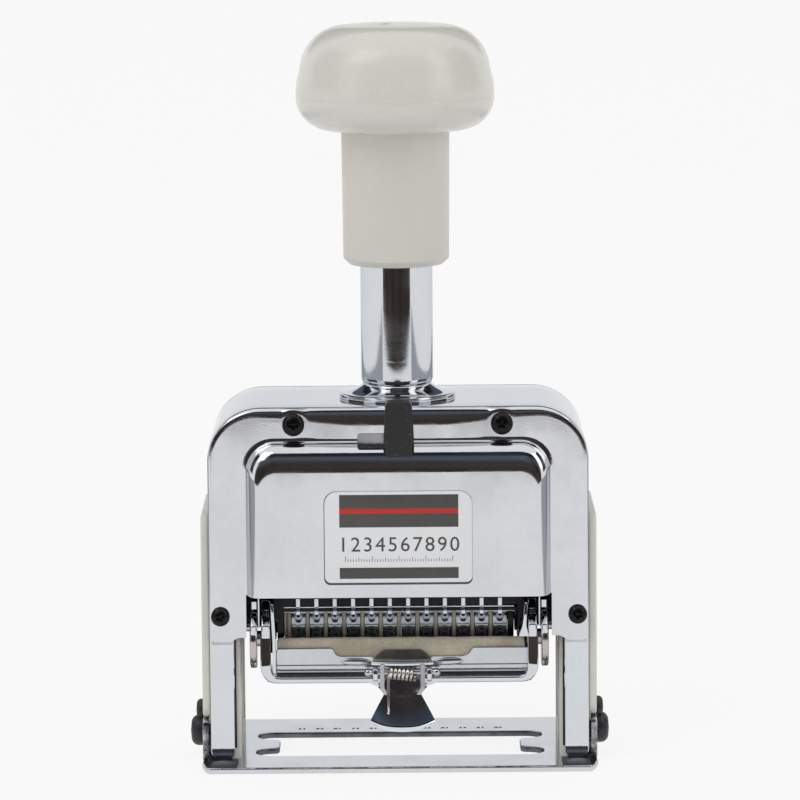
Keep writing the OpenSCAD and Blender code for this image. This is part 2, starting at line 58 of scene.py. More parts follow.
studioSettings = {
    "worldLevel": 0.62,       # soft light from all round on matt surfaces
    "floorFront": -0.50,      # front edge of the white sheet under the machine
    "floorReach": 3.0,
    "floorGlow": 0.86,        # how much of its whiteness is its own, so that shadows on it stay soft
    # place, target, size, power and colour
    "keyLamp": ((-0.75, -0.75, 1.15), (0, 0, 0.05), (0.8, 0.8), 3.4, (1.0, 0.985, 0.96)),
    "fillLamp": ((1.0, -0.55, 0.75), (0, 0, 0.06), (0.5, 0.8), 1.3, (1.0, 0.95, 0.88)),
    "wallHeights": (-0.5, 1.8),   # and the walls' tone at some heights: warm and dark below, bluish above
    "wallTones": [
        (-0.5, (0.045, 0.034, 0.030)), (0.36, (0.042, 0.032, 0.030)), (0.58, (0.085, 0.105, 0.135)),
        (0.82, (0.08, 0.094, 0.125)), (1.10, (0.022, 0.021, 0.026)), (1.7, (0.030, 0.028, 0.032))],
    "walls": {
        "frontWall": [(-1.25, -1.3, -0.5), (1.25, -1.3, -0.5), (1.25, -1.3, 1.75), (-1.25, -1.3, 1.75)],
        "leftWall": [(-1.5, -0.55, 0.22), (-1.5, 0.7, 0.22), (-1.5, 0.7, 1.6), (-1.5, -0.55, 1.6)],
        "rightWall": [(1.5, -0.55, 0.22), (1.5, 0.7, 0.22), (1.5, 0.7, 1.6), (1.5, -0.55, 1.6)],
        "rearWall": [(-1.2, 1.5, 0.52), (1.2, 1.5, 0.52), (1.2, 1.5, 1.8), (-1.2, 1.5, 1.8)],
    },
    # x and y of their ends
    "cards": {"Card": [(0.20, 0.0), (0.13, 0.28)], "Flag": [(0.25, -0.24), (0.20, 0.0)]},
    "cardLevel": (0.36, 0.37, 0.40, 1),
    "cardHeight": 0.046,
}


def newMaterial(name):
    material = bpy.data.materials.new(name)
    material.use_nodes = True
    tree = material.node_tree
    shader = next(n for n in tree.nodes if n.type == "BSDF_PRINCIPLED")
    return material, tree, shader


def setInputs(node, values):
    for socket, value in values.items():
        node.inputs[socket].default_value = value


def newObject(name, data):
    thing = bpy.data.objects.new(name, data)
    bpy.context.scene.collection.objects.link(thing)
    return thing


def addNoise(tree, scale, detail=3.0, stretch=None, lift=None):
    coords = tree.nodes.new("ShaderNodeTexCoord")
    texture = tree.nodes.new("ShaderNodeTexNoise")
    setInputs(texture, {"Scale": scale, "Detail": detail})
    source = coords.outputs["Object"]
    if stretch or lift:
        mapping = tree.nodes.new("ShaderNodeMapping")
        setInputs(mapping, {"Scale": stretch or (1, 1, 1), "Rotation": lift or (0, 0, 0)})
        tree.links.new(source, mapping.inputs["Vector"])
        source = mapping.outputs["Vector"]
    tree.links.new(source, texture.inputs["Vector"])
    return texture


def mathNode(tree, operation, a, b=None, clamp=False):
    node = tree.nodes.new("ShaderNodeMath")
    node.operation = operation
    node.use_clamp = clamp
    for i, value in enumerate((a, b)):
        if value is None:
            continue
        if isinstance(value, (int, float)):
            node.inputs[i].default_value = value
        else:
            tree.links.new(value, node.inputs[i])
    return node.outputs[0]


def spread(tree, value, lowIn, highIn, lowOut=0.0, highOut=1.0):
    node = tree.nodes.new("ShaderNodeMapRange")
    limits = {"From Min": lowIn, "From Max": highIn, "To Min": lowOut, "To Max": highOut}
    for name, number in limits.items():
        if isinstance(number, (int, float)):
            node.inputs[name].default_value = number
        else:
            tree.links.new(number, node.inputs[name])
    tree.links.new(value, node.inputs["Value"])
    return node.outputs["Result"]


def placeCamera(s):
    data = bpy.data.cameras.new("camera")
    data.lens = s["lens"]
    data.sensor_width = 36
    camera = newObject("camera", data)
    tilt = Matrix.Rotation(math.radians(90 - s["pitchDown"]), 4, "X")
    turn = Matrix.Rotation(math.radians(s["roll"]), 4, "Z")
    camera.matrix_world = Matrix.Translation(s["place"]) @ tilt @ turn
    bpy.context.scene.camera = camera


def placeLamp(name, place, target, size, power, colour):
    data = bpy.data.lights.new(name, "AREA")
    data.shape = "RECTANGLE"
    data.size, data.size_y = size
    data.energy = power
    data.color = colour
    lamp = newObject(name, data)
    lamp.location = place
    lamp.rotation_euler = (Vector(target) - Vector(place)).to_track_quat("-Z", "Y").to_euler()


def sheetObject(name, corners, material, faces=((0, 1, 2, 3),)):
    mesh = bpy.data.meshes.new(name)
    mesh.from_pydata(corners, [], faces)
    mesh.materials.append(material)
    thing = newObject(name, mesh)
    return thing


def buildWorld(s):
    world = bpy.data.worlds.new("studio")
    bpy.context.scene.world = world
    world.use_nodes = True
    tree = world.node_tree
    path = tree.nodes.new("ShaderNodeLightPath")
    seen = mathNode(tree, "ADD", path.outputs["Is Camera Ray"], path.outputs["Is Glossy Ray"])
    seen = mathNode(tree, "ADD", seen, path.outputs["Is Transmission Ray"], clamp=True)
    background = tree.nodes["Background"]
    background.inputs["Color"].default_value = (1, 1, 1, 1)
    tree.links.new(spread(tree, seen, 0.0, 1.0, s["worldLevel"], 1.0), background.inputs["Strength"])


def buildFloor(s):
    material, tree, shader = newMaterial("whiteSheet")
    setInputs(shader, {"Base Color": (0.9, 0.9, 0.9, 1), "Roughness": 0.9, "Specular IOR Level": 0.1})
    glow = tree.nodes.new("ShaderNodeEmission")
    path = tree.nodes.new("ShaderNodeLightPath")
    mix = tree.nodes.new("ShaderNodeMixShader")
    either = mathNode(tree, "MAXIMUM", path.outputs["Is Camera Ray"], path.outputs["Is Glossy Ray"])
    tree.links.new(mathNode(tree, "MULTIPLY", either, s["floorGlow"]), mix.inputs["Fac"])
    tree.links.new(shader.outputs[0], mix.inputs[1])
    tree.links.new(glow.outputs[0], mix.inputs[2])
    tree.links.new(mix.outputs[0], tree.nodes["Material Output"].inputs["Surface"])
    r, f = s["floorReach"], s["floorFront"]
    sheetObject("floor", [(-r, f, 0), (r, f, 0), (r, r, 0), (-r, r, 0)], material)
    apron = sheetObject("floorApron", [(-r, -r, 0), (r, -r, 0), (r, f, 0), (-r, f, 0)], material)
    for ray in ("diffuse", "glossy", "transmission", "volume_scatter", "shadow"):
        setattr(apron, "visible_" + ray, False)


def wallMaterial(s):
    material, tree, shader = newMaterial("roomWall")
    setInputs(shader, {"Base Color": (0, 0, 0, 1), "Roughness": 1.0, "Specular IOR Level": 0.0})
    coords = tree.nodes.new("ShaderNodeTexCoord")
    height = tree.nodes.new("ShaderNodeSeparateXYZ")
    tree.links.new(coords.outputs["Object"], height.inputs["Vector"])
    low, high = s["wallHeights"]
    tones = tree.nodes.new("ShaderNodeValToRGB")
    ramp = tones.color_ramp.elements
    for z, colour in s["wallTones"]:
        place = (z - low) / (high - low)
        stop = ramp[0] if z == s["wallTones"][0][0] else ramp.new(place)
        stop.position, stop.color = place, colour + (1,)
    ramp.remove(ramp[-1])
    tree.links.new(spread(tree, height.outputs["Z"], low, high), tones.inputs["Fac"])
    tree.links.new(tones.outputs["Color"], shader.inputs["Emission Color"])
    clouds = addNoise(tree, 2.3, 4.0)
    unevenness = spread(tree, clouds.outputs["Fac"], 0.36, 0.64, 0.6, 1.5)
    tree.links.new(unevenness, shader.inputs["Emission Strength"])
    return material


def buildWalls(s):
    # dark walls of the room, which only polished surfaces see
    dark = wallMaterial(s)
    # grey cards on the floor at both sides, which give upright edges their line
    grey, tree, shader = newMaterial("sideCard")
    setInputs(shader,
              {"Base Color": (0, 0, 0, 1), "Emission Color": s["cardLevel"], "Emission Strength": 1.0})
    cards = {}
    for side, sign in (("left", -1), ("right", 1)):
        for part, places in s["cards"].items():
            ends = [(sign * x, y) for x, y in places]
            upper = [(*end, s["cardHeight"]) for end in reversed(ends)]
            cards[side + part] = [(*end, 0) for end in ends] + upper
    for name, corners in list(s["walls"].items()) + list(cards.items()):
        wall = sheetObject(name, corners, grey if name in cards else dark)
        for ray in ("camera", "diffuse", "shadow", "transmission"):
            setattr(wall, "visible_" + ray, False)


bpy.context.scene.view_settings.view_transform = "Standard"
placeCamera(cameraSettings)
buildWorld(studioSettings)
buildFloor(studioSettings)
buildWalls(studioSettings)
for lamp in ("keyLamp", "fillLamp"):
    placeLamp(lamp, *studioSettings[lamp])
print("camera and studio ready")

# Finishes: three shader groups that the materials share, then one row of values for each finish


def groupSockets(group, ins, outs):
    for name, kind, value in ins:
        socket = group.interface.new_socket(name, in_out="INPUT", socket_type=kind)
        if value is not None:
            socket.default_value = value
    for name, kind in outs:
        group.interface.new_socket(name, in_out="OUTPUT", socket_type=kind)
    return group.nodes.new("NodeGroupInput"), group.nodes.new("NodeGroupOutput")


def makeToneGroup():
    # colour that wanders a little between two tones, at a broad and a fine scale
    group = bpy.data.node_groups.new("unevenTone", "ShaderNodeTree")
    ins = [("Light", "NodeSocketColor", None), ("Dark", "NodeSocketColor", None),
           ("Scale", "NodeSocketFloat", 60.0), ("Contrast", "NodeSocketFloat", 0.5)]
    start, end = groupSockets(group, ins, [("Colour", "NodeSocketColor")])
    broad = addNoise(group, 60.0, 2.0)
    fine = addNoise(group, 600.0, 4.0)
    group.links.new(start.outputs["Scale"], broad.inputs["Scale"])
    group.links.new(mathNode(group, "MULTIPLY", start.outputs["Scale"], 11.0), fine.inputs["Scale"])
    blend = mathNode(group, "ADD", mathNode(group, "MULTIPLY", broad.outputs["Fac"], 0.65),
                     mathNode(group, "MULTIPLY", fine.outputs["Fac"], 0.35))
    mask = spread(group, blend, 0.38, 0.62)
    mask = mathNode(group, "MULTIPLY", mask, start.outputs["Contrast"], clamp=True)
    mix = group.nodes.new("ShaderNodeMix")
    mix.data_type = "RGBA"
    group.links.new(mask, mix.inputs["Factor"])
    group.links.new(start.outputs["Light"], mix.inputs["A"])
    group.links.new(start.outputs["Dark"], mix.inputs["B"])
    group.links.new(mix.outputs["Result"], end.inputs["Colour"])
    return group


def makeSkinGroup():
    # roughness between two values, and a height of fine grain over slow waves
    group = bpy.data.node_groups.new("surfaceSkin", "ShaderNodeTree")
    ins = [
        ("Low", "NodeSocketFloat", 0.1), ("High", "NodeSocketFloat", 0.2),
        ("Grain Scale", "NodeSocketFloat", 3000.0), ("Grain", "NodeSocketFloat", 0.2),
        ("Wave Scale", "NodeSocketFloat", 70.0), ("Wave", "NodeSocketFloat", 1.0)]
    start, end = groupSockets(group, ins, [("Roughness", "NodeSocketFloat"), ("Height", "NodeSocketFloat")])
    cloud = addNoise(group, 130.0, 4.0)
    grain = addNoise(group, 3000.0, 2.0)
    wave = addNoise(group, 70.0, 1.0)
    group.links.new(start.outputs["Grain Scale"], grain.inputs["Scale"])
    group.links.new(start.outputs["Wave Scale"], wave.inputs["Scale"])
    rough = spread(group, cloud.outputs["Fac"], 0.35, 0.65, start.outputs["Low"], start.outputs["High"])
    group.links.new(rough, end.inputs["Roughness"])
    height = mathNode(group, "ADD",
                      mathNode(group, "MULTIPLY", grain.outputs["Fac"], start.outputs["Grain"]),
                      mathNode(group, "MULTIPLY", wave.outputs["Fac"], start.outputs["Wave"]))
    group.links.new(height, end.inputs["Height"])
    return group


def makeWearGroup():
    # hairline scratches in two directions and a little dust, as one mask
    group = bpy.data.node_groups.new("handlingWear", "ShaderNodeTree")
    ins = [("Scratches", "NodeSocketFloat", 0.3), ("Dust", "NodeSocketFloat", 0.2),
           ("Turn", "NodeSocketFloat", 0.6)]
    start, end = groupSockets(group, ins,
                              [("Scratch Mask", "NodeSocketFloat"), ("Dust Mask", "NodeSocketFloat")])
    lines = []
    for stretch, turn in (((900, 900, 26), (0.3, 0.5, 0.2)), ((30, 800, 800), (0.2, -0.4, 0.9))):
        hairs = addNoise(group, 1.0, 1.0, stretch, turn)
        lines.append(spread(group, hairs.outputs["Fac"], 0.70, 0.76))
    both = mathNode(group, "MAXIMUM", lines[0], lines[1])
    patches = spread(group, addNoise(group, 45.0, 1.0).outputs["Fac"], 0.45, 0.65)
    scratch = mathNode(group, "MULTIPLY", both, patches)
    scratch = mathNode(group, "MULTIPLY", scratch, start.outputs["Scratches"], clamp=True)
    specks = spread(group, addNoise(group, 2300.0, 1.0).outputs["Fac"], 0.72, 0.80)
    dust = mathNode(group, "MULTIPLY", specks, start.outputs["Dust"], clamp=True)
    group.links.new(scratch, end.inputs["Scratch Mask"])
    group.links.new(dust, end.inputs["Dust Mask"])
    return group


toneGroup, skinGroup, wearGroup = makeToneGroup(), makeSkinGroup(), makeWearGroup()

scratchRoughness, scratchDepth = 0.22, 0.25

finishDefaults = {
    "metallic": 0.0, "specular": 0.5, "edgeTint": (1, 1, 1, 1), "coat": 0.0, "coatRoughness": 0.05,
    "subsurface": 0.0, "toneScale": 60.0, "contrast": 0.6, "grainScale": 3000.0, "grain": 0.25,
    "waveScale": 70.0, "wave": 1.0, "bump": 0.00001, "scratches": 0.3, "dust": 0.15,
    "dustColour": (0.5, 0.5, 0.48, 1),
}
# light and dark tone, roughness low and high, then what differs from finishDefaults
finishTable = {
    "polishedChrome": (
        (0.68, 0.70, 0.73), (0.62, 0.645, 0.68), 0.045, 0.09,
        {"metallic": 1.0, "wave": 2.2, "waveScale": 55.0, "dust": 0.10, "edgeTint": (0.80, 0.81, 0.83, 1)}),
    "brightNickel": (
        (0.68, 0.695, 0.72), (0.61, 0.63, 0.66), 0.05, 0.12,
        {"metallic": 1.0, "wave": 2.6, "waveScale": 48.0, "scratches": 0.35,
         "edgeTint": (0.80, 0.81, 0.83, 1)}),
    "basePlateChrome": (
        (0.66, 0.675, 0.70), (0.60, 0.62, 0.65), 0.09, 0.17,
        {"metallic": 1.0, "grain": 0.3, "wave": 1.6, "waveScale": 60.0, "dust": 0.12,
         "edgeTint": (0.80, 0.81, 0.83, 1)}),
    # darker, rougher chrome for the painted shadow under the cover's legs
    "satinPlate": (
        (0.60, 0.62, 0.64), (0.50, 0.52, 0.54), 0.20, 0.32,
        {"metallic": 1.0, "grain": 0.5, "wave": 1.0}),
    "turnedSteel": ((0.55, 0.56, 0.58), (0.42, 0.43, 0.45), 0.18, 0.30, {"metallic": 1.0, "grain": 0.4}),
    "springWire": ((0.60, 0.60, 0.62), (0.48, 0.48, 0.50), 0.14, 0.24, {"metallic": 1.0}),
    "agedNickel": (
        (0.55, 0.52, 0.49), (0.44, 0.41, 0.38), 0.12, 0.22,
        {"metallic": 1.0, "grain": 0.5, "edgeTint": (0.74, 0.73, 0.72, 1)}),
    "trayNickel": (
        (0.60, 0.62, 0.655), (0.52, 0.54, 0.575), 0.14, 0.22,
        {"metallic": 1.0, "grain": 0.4, "wave": 1.2, "waveScale": 60.0, "scratches": 0.2, "dust": 0.15,
         "edgeTint": (0.76, 0.77, 0.79, 1)}),
    # near-black nickel: painted dark reflection under the tray's lip
    "shadedNickel": (
        (0.055, 0.056, 0.06), (0.03, 0.03, 0.033), 0.16, 0.28,
        {"metallic": 1.0, "grain": 0.5, "edgeTint": (0.3, 0.3, 0.3, 1)}),
    # raw cut steel, darkened as painted shade inside the base's window
    "cutEdge": (
        (0.17, 0.18, 0.195), (0.06, 0.065, 0.07), 0.22, 0.40,
        {"metallic": 1.0, "grain": 1.0, "toneScale": 260.0, "edgeTint": (0.45, 0.45, 0.45, 1)}),
    "wornEdge": (
        (0.62, 0.64, 0.67), (0.03, 0.033, 0.037), 0.16, 0.34,
        {"metallic": 1.0, "grain": 1.0, "toneScale": 420.0, "contrast": 0.95, "wave": 5.0,
         "waveScale": 420.0, "edgeTint": (0.7, 0.7, 0.7, 1)}),
    # darker, bluish chrome for the latch tab: painted shade and painted blue reflection
    "tabNickel": (
        (0.52, 0.58, 0.68), (0.40, 0.43, 0.50), 0.06, 0.12,
        {"metallic": 1.0, "wave": 2.4, "waveScale": 40.0, "scratches": 0.3,
         "edgeTint": (0.6, 0.62, 0.66, 1)}),
    "smokedNickel": (
        (0.36, 0.325, 0.28), (0.19, 0.17, 0.145), 0.30, 0.42,
        {"metallic": 1.0, "grain": 0.9, "toneScale": 500.0, "dust": 0.3, "edgeTint": (0.5, 0.48, 0.46, 1)}),
    "brushedEdge": (
        (0.52, 0.53, 0.55), (0.42, 0.43, 0.46), 0.24, 0.36,
        {"metallic": 1.0, "grain": 0.8, "toneScale": 420.0}),
    "leafSteel": ((0.70, 0.71, 0.73), (0.60, 0.61, 0.63), 0.20, 0.32, {"metallic": 1.0, "grain": 0.4}),
    # bronze with near-white and near-black spots: painted highlights and dark reflections
    "bronzeWire": (
        (0.86, 0.80, 0.74), (0.10, 0.08, 0.065), 0.10, 0.2,
        {"metallic": 1.0, "grain": 0.6, "toneScale": 420.0, "edgeTint": (0.5, 0.46, 0.42, 1)}),
    "typeSteel": (
        (0.46, 0.50, 0.55), (0.30, 0.33, 0.37), 0.22, 0.36,
        {"metallic": 1.0, "grain": 0.6, "toneScale": 220.0}),
    "inkedType": (
        (0.20, 0.215, 0.235), (0.045, 0.050, 0.057), 0.25, 0.5,
        {"metallic": 0.6, "grain": 0.8, "toneScale": 400.0}),
    "turnedBrass": ((0.66, 0.46, 0.22), (0.50, 0.33, 0.15), 0.20, 0.32, {"metallic": 1.0}),
    "blackOxide": (
        (0.020, 0.021, 0.024), (0.010, 0.010, 0.012), 0.28, 0.42,
        {"metallic": 0.7, "grain": 0.6, "dust": 0.3}),
    "blackScrewSteel": (
        (0.006, 0.006, 0.007), (0.003, 0.003, 0.004), 0.16, 0.24,
        {"specular": 0.22, "grain": 0.5, "dust": 0.05}),
    "blackMoulding": (
        (0.022, 0.022, 0.025), (0.014, 0.014, 0.016), 0.38, 0.50,
        {"grain": 1.2, "grainScale": 2200.0, "dust": 0.35}),
    "knobMoulding": (
        (0.80, 0.785, 0.73), (0.755, 0.74, 0.68), 0.24, 0.31,
        {"wave": 1.3, "waveScale": 40.0, "contrast": 0.25, "coat": 0.25, "coatRoughness": 0.09,
         "subsurface": 0.08, "dust": 0.05, "scratches": 0.12}),
    "sleeveMoulding": (
        (0.77, 0.75, 0.69), (0.73, 0.71, 0.65), 0.34, 0.42,
        {"contrast": 0.25, "subsurface": 0.08, "dust": 0.06}),
    "ivoryMoulding": (
        (0.80, 0.785, 0.72), (0.74, 0.72, 0.65), 0.36, 0.46,
        {"contrast": 0.3, "subsurface": 0.06, "dust": 0.12}),
    "creamMoulding": (
        (0.66, 0.60, 0.48), (0.50, 0.44, 0.34), 0.42, 0.55,
        {"contrast": 0.6, "toneScale": 150.0}),
    "labelFoil": (
        (0.93, 0.945, 0.975), (0.90, 0.915, 0.945), 0.30, 0.36,
        {"metallic": 0.0, "grain": 0.15, "wave": 0.4, "dust": 0.04}),
    # grey ink of the print, also used for the label's painted shadow
    "greyInk": (
        (0.090, 0.088, 0.086), (0.070, 0.068, 0.067), 0.45, 0.55,
        {"wave": 0.2, "dust": 0.12, "grain": 0.6, "grainScale": 5000.0}),
    "redInk": ((0.62, 0.030, 0.025), (0.55, 0.025, 0.022), 0.38, 0.45, {"wave": 0.2, "dust": 0.04}),
    # dark marks on the base, and the painted shadow under the frame's feet
    "stampedRecess": ((0.10, 0.105, 0.115), (0.06, 0.062, 0.07), 0.4, 0.5, {"metallic": 0.8}),
}


def groupNode(tree, group, values):
    node = tree.nodes.new("ShaderNodeGroup")
    node.node_tree = group
    setInputs(node, values)
    return node


def addBump(tree, shader, height, distance):
    bump = tree.nodes.new("ShaderNodeBump")
    setInputs(bump, {"Strength": 1.0, "Distance": distance})
    tree.links.new(height, bump.inputs["Height"])
    tree.links.new(bump.outputs["Normal"], shader.inputs["Normal"])


def makeFinish(name):
    light, dark, low, high, changes = finishTable[name]
    s = dict(finishDefaults, **changes)
    material, tree, shader = newMaterial(name)
    tone = groupNode(tree, toneGroup, {"Light": light + (1,), "Dark": dark + (1,),
                                       "Scale": s["toneScale"], "Contrast": s["contrast"]})
    skin = groupNode(tree, skinGroup,
                     {"Low": low, "High": high, "Grain Scale": s["grainScale"], "Grain": s["grain"],
                      "Wave Scale": s["waveScale"], "Wave": s["wave"]})
    wear = groupNode(tree, wearGroup, {"Scratches": s["scratches"], "Dust": s["dust"]})
    mix = tree.nodes.new("ShaderNodeMix")
    mix.data_type = "RGBA"
    mix.inputs["B"].default_value = s["dustColour"]
    tree.links.new(wear.outputs["Dust Mask"], mix.inputs["Factor"])
    tree.links.new(tone.outputs["Colour"], mix.inputs["A"])
    tree.links.new(mix.outputs["Result"], shader.inputs["Base Color"])
    scratches = wear.outputs["Scratch Mask"]
    rough = mathNode(tree, "MULTIPLY", scratches, scratchRoughness)
    rough = mathNode(tree, "ADD", skin.outputs["Roughness"], rough, clamp=True)
    tree.links.new(rough, shader.inputs["Roughness"])
    height = mathNode(tree, "MULTIPLY", scratches, scratchDepth)
    addBump(tree, shader, mathNode(tree, "SUBTRACT", skin.outputs["Height"], height), s["bump"])
    direct = {"Metallic": "metallic", "Coat Weight": "coat", "Coat Roughness": "coatRoughness",
              "Specular IOR Level": "specular", "Subsurface Weight": "subsurface", "Specular Tint": "edgeTint"}
    setInputs(shader, {socket: s[key] for socket, key in direct.items()})
    if s["subsurface"]:
        setInputs(shader, {"Subsurface Scale": 0.002, "Subsurface Radius": (1.0, 0.85, 0.6)})
    return material


finish = {name: makeFinish(name) for name in finishTable}


def makeFelt():
    # wool felt: matted fibres at two scales, with a soft sheen
    material, tree, shader = newMaterial("creamFelt")
    tone = groupNode(tree, toneGroup, {"Light": (0.66, 0.61, 0.49, 1), "Dark": (0.42, 0.36, 0.27, 1),
                                       "Scale": 170.0, "Contrast": 0.8})
    tree.links.new(tone.outputs["Colour"], shader.inputs["Base Color"])
    fibres = addNoise(tree, 1.0, 4.0, (1400, 4200, 1400), (0.2, 0.1, 0.7))
    mat = addNoise(tree, 900.0, 5.0)
    addBump(tree, shader, mathNode(tree, "ADD", fibres.outputs["Fac"], mat.outputs["Fac"]), 0.00012)
    setInputs(shader,
              {"Roughness": 0.95, "Sheen Weight": 0.4, "Sheen Roughness": 0.6, "Specular IOR Level": 0.15})
    return material


finish["creamFelt"] = makeFelt()
print("finishes ready,", len(finish))

# Mesh tools. Points are given in millimetres and stored in metres.


def smoothstep(a, b, x):
    t = min(1.0, max(0.0, (x - a) / (b - a)))
    return t * t * (3 - 2 * t)


def cleanMesh(name, points, faces, merge, marks=None, dropSlivers=False):
    # points that meet become one, and faces look outwards; marks are the faces' material numbers
    mesh = bpy.data.meshes.new(name)
    mesh.from_pydata([tuple(c * mm for c in p) for p in points], [], faces)
    if marks:
        mesh.polygons.foreach_set("material_index", marks)
    work = bmesh.new()
    work.from_mesh(mesh)
    bmesh.ops.remove_doubles(work, verts=work.verts, dist=merge)
    slivers = [f for f in work.faces if f.calc_area() < 1e-14] if dropSlivers else []
    if slivers:
        bmesh.ops.delete(work, geom=slivers, context="FACES")
    bmesh.ops.recalc_face_normals(work, faces=work.faces)
    work.to_mesh(mesh)
    work.free()
    return mesh


def meshPiece(name, points, faces, material, body, slot, stands=(), sharp=32, merge=5e-6):
    mesh = cleanMesh(name, points, faces, merge, dropSlivers=True)
    return dressPiece(name, mesh, material, body, slot, stands, sharp)


def evaluatedMesh(thing):
    graph = bpy.context.evaluated_depsgraph_get()
    return bpy.data.meshes.new_from_object(thing.evaluated_get(graph))


def partOf(mesh):
    return [tuple(v.co) for v in mesh.vertices], [tuple(p.vertices) for p in mesh.polygons]


def partOfWork(work):
    # the same from a mesh being worked on, which ends with it
    work.verts.index_update()
    part = [tuple(v.co) for v in work.verts], [tuple(v.index for v in f.verts) for f in work.faces]
    work.free()
    return part


def dressPiece(name, mesh, material, body, slot, stands=(), sharp=32):
    materials = material if isinstance(material, (list, tuple)) else [material]
    mesh.materials.clear()
    for m in materials:
        mesh.materials.append(finish[m])
    mesh.shade_smooth()
    if sharp is not None:
        mesh.set_sharp_from_angle(angle=math.radians(sharp))
    thing = newObject(name, mesh)
    thing["body"], thing["slot"] = body, slot
    if stands:
        stand.setdefault(name, []).extend(stands)
    made.append(thing)
    return thing


made = []      # pieces waiting for their bodies
stand = {}     # piece name: the nodes it stands for


def settle(thing, *modifiers):
    # puts modifiers on a piece, then keeps the result as its plain mesh
    for kind, values in modifiers:
        modifier = thing.modifiers.new(kind.lower(), kind)
        for key, value in values.items():
            setattr(modifier, key, value)
    old = thing.data
    mesh = evaluatedMesh(thing)
    thing.modifiers.clear()
    thing.data = mesh
    bpy.data.meshes.remove(old)
    mesh.name = thing.name
    return thing


def sharpen(thing, angle):
    thing.data.shade_smooth()
    thing.data.set_sharp_from_angle(angle=math.radians(angle))
    return thing


def gridFaces(rows, columns, closeRows=False, closeColumns=False, start=0):
    faces = []
    for i in range(rows if closeRows else rows - 1):
        for j in range(columns if closeColumns else columns - 1):
            a, b = start + i * columns + j, start + i * columns + (j + 1) % columns
            k = (i + 1) % rows
            c, d = start + k * columns + (j + 1) % columns, start + k * columns + j
            faces.append((a, b, c, d))
    return faces


def lathe(profile, steps):
    # closed profile of (radius, z) turned about Z
    points = []
    for r, z in profile:
        for k in range(steps):
            a = 2 * math.pi * k / steps
            points.append((r * math.cos(a), r * math.sin(a), z))
    return points, gridFaces(len(profile), steps, closeRows=True, closeColumns=True)


def arcPoints(cx, cz, r, start, end, steps):
    return [(cx + r * math.cos(math.radians(start + (end - start) * k / steps)),
             cz + r * math.sin(math.radians(start + (end - start) * k / steps))) for k in range(steps + 1)]


def bevelledCopy(node, name, material, body, slot, width=0.2, steps=2, angle=35):
    # a node's own solid with its edges softened
    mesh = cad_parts[node].data.copy()
    work = bmesh.new()
    work.from_mesh(mesh)
    bmesh.ops.remove_doubles(work, verts=work.verts, dist=2e-6)
    bmesh.ops.dissolve_limit(work, angle_limit=math.radians(1.0), verts=work.verts, edges=work.edges)
    work.to_mesh(mesh)
    work.free()
    thing = dressPiece(name, mesh, material, body, slot, [node], sharp=None)
    settle(thing,
           ("BEVEL",
            {"width": width * mm, "segments": steps, "limit_method": "ANGLE",
             "angle_limit": math.radians(angle), "harden_normals": False, "miter_outer": "MITER_ARC"}))
    return evenNormals(thing)


def evenNormals(thing):
    # flat faces stay flat where they meet a rounded edge
    sharpen(thing, 50)
    return settle(thing, ("WEIGHTED_NORMAL", {"mode": "FACE_AREA", "weight": 60, "keep_sharp": True}))


def joinMeshes(name, parts, material, body, slot, stands=()):
    # parts of (points, faces, material index) as one piece
    points, faces, marks = [], [], []
    for part in parts:
        p, f, index = part if len(part) == 3 else (part[0], part[1], 0)
        start = len(points)
        points.extend(p)
        faces.extend(tuple(v + start for v in face) for face in f)
        marks.extend([index] * len(f))
    mesh = cleanMesh(name, points, faces, 1e-6, marks)
    keep = [p.material_index for p in mesh.polygons]
    thing = dressPiece(name, mesh, material, body, slot, stands)
    thing.data.polygons.foreach_set("material_index", keep)
    return thing


def roundedBox(x0, x1, y0, y1, z0, z1, r=0.2, steps=3):
    # box with its twelve edges rounded
    work = bmesh.new()
    bmesh.ops.create_cube(work, size=1.0)
    ends = ((x0, x1), (y0, y1), (z0, z1))
    for v in work.verts:
        v.co = Vector([(a + b) / 2 + c * (b - a) for c, (a, b) in zip(v.co, ends)])
    bmesh.ops.bevel(work, geom=work.edges[:], offset=r, segments=steps, profile=0.5, affect="EDGES")
    return partOfWork(work)


def skin(rings):
    # closed rings joined into a solid with flat ends
    n = len(rings[0])
    points = [p for ring in rings for p in ring]
    faces = gridFaces(len(rings), n, closeColumns=True)
    return points, faces + [tuple(range(n)), tuple(range(len(points) - n, len(points)))]


def mirrored(part):
    return [(-x, y, z) for x, y, z in part[0]], part[1]


def bothSides(part):
    return [part, mirrored(part)]


def movedX(parts, shift):
    return [([(x + shift, y, z) for x, y, z in part[0]],) + tuple(part[1:]) for part in parts]


def roundRing(u0, u1, v0, v1, r, steps=4):
    # corners of a rounded rectangle, as (u, v)
    r = min(r, (u1 - u0) / 2 - 0.001, (v1 - v0) / 2 - 0.001)
    ring = []
    corners = [(u1 - r, v0 + r, -90), (u1 - r, v1 - r, 0), (u0 + r, v1 - r, 90), (u0 + r, v0 + r, 180)]
    for cu, cv, start in corners:
        ring += arcPoints(cu, cv, r, start, start + 90, steps)
    return ring


# Covers and frame: rows of arch-shaped lines, joined into sheet

coverSettings = {
    "halfWidth": 36.0, "top": 68.8, "radius": 10.0, "bottom": 24.15,
    "rootWidth": 28.7, "rootTop": 62.4, "rootRadius": 5.6,   # foot line of the raised panel
    "mouthTop": 33.2,
    "frontY": -16.0, "backY": -15.0, "thickness": 0.9,
    "rollTop": 3.1, "rollCorner": 1.3, "rollSide": 0.28,     # width of the rolled edge
    "screwX": 19.65, "screwZ": 65.7, "screwFlat": 2.75,
    "sideShare": 0.42, "sideLean": 0.22,   # panel shoulder's width at the sides, against the top
    "legRound": 1.2, "legDrop": 0.85, "legInside": 32.0, "legSlope": 1.4,   # lower end of the legs
    "slot": (-7.6, 2.9, 61.2, 64.0),
}
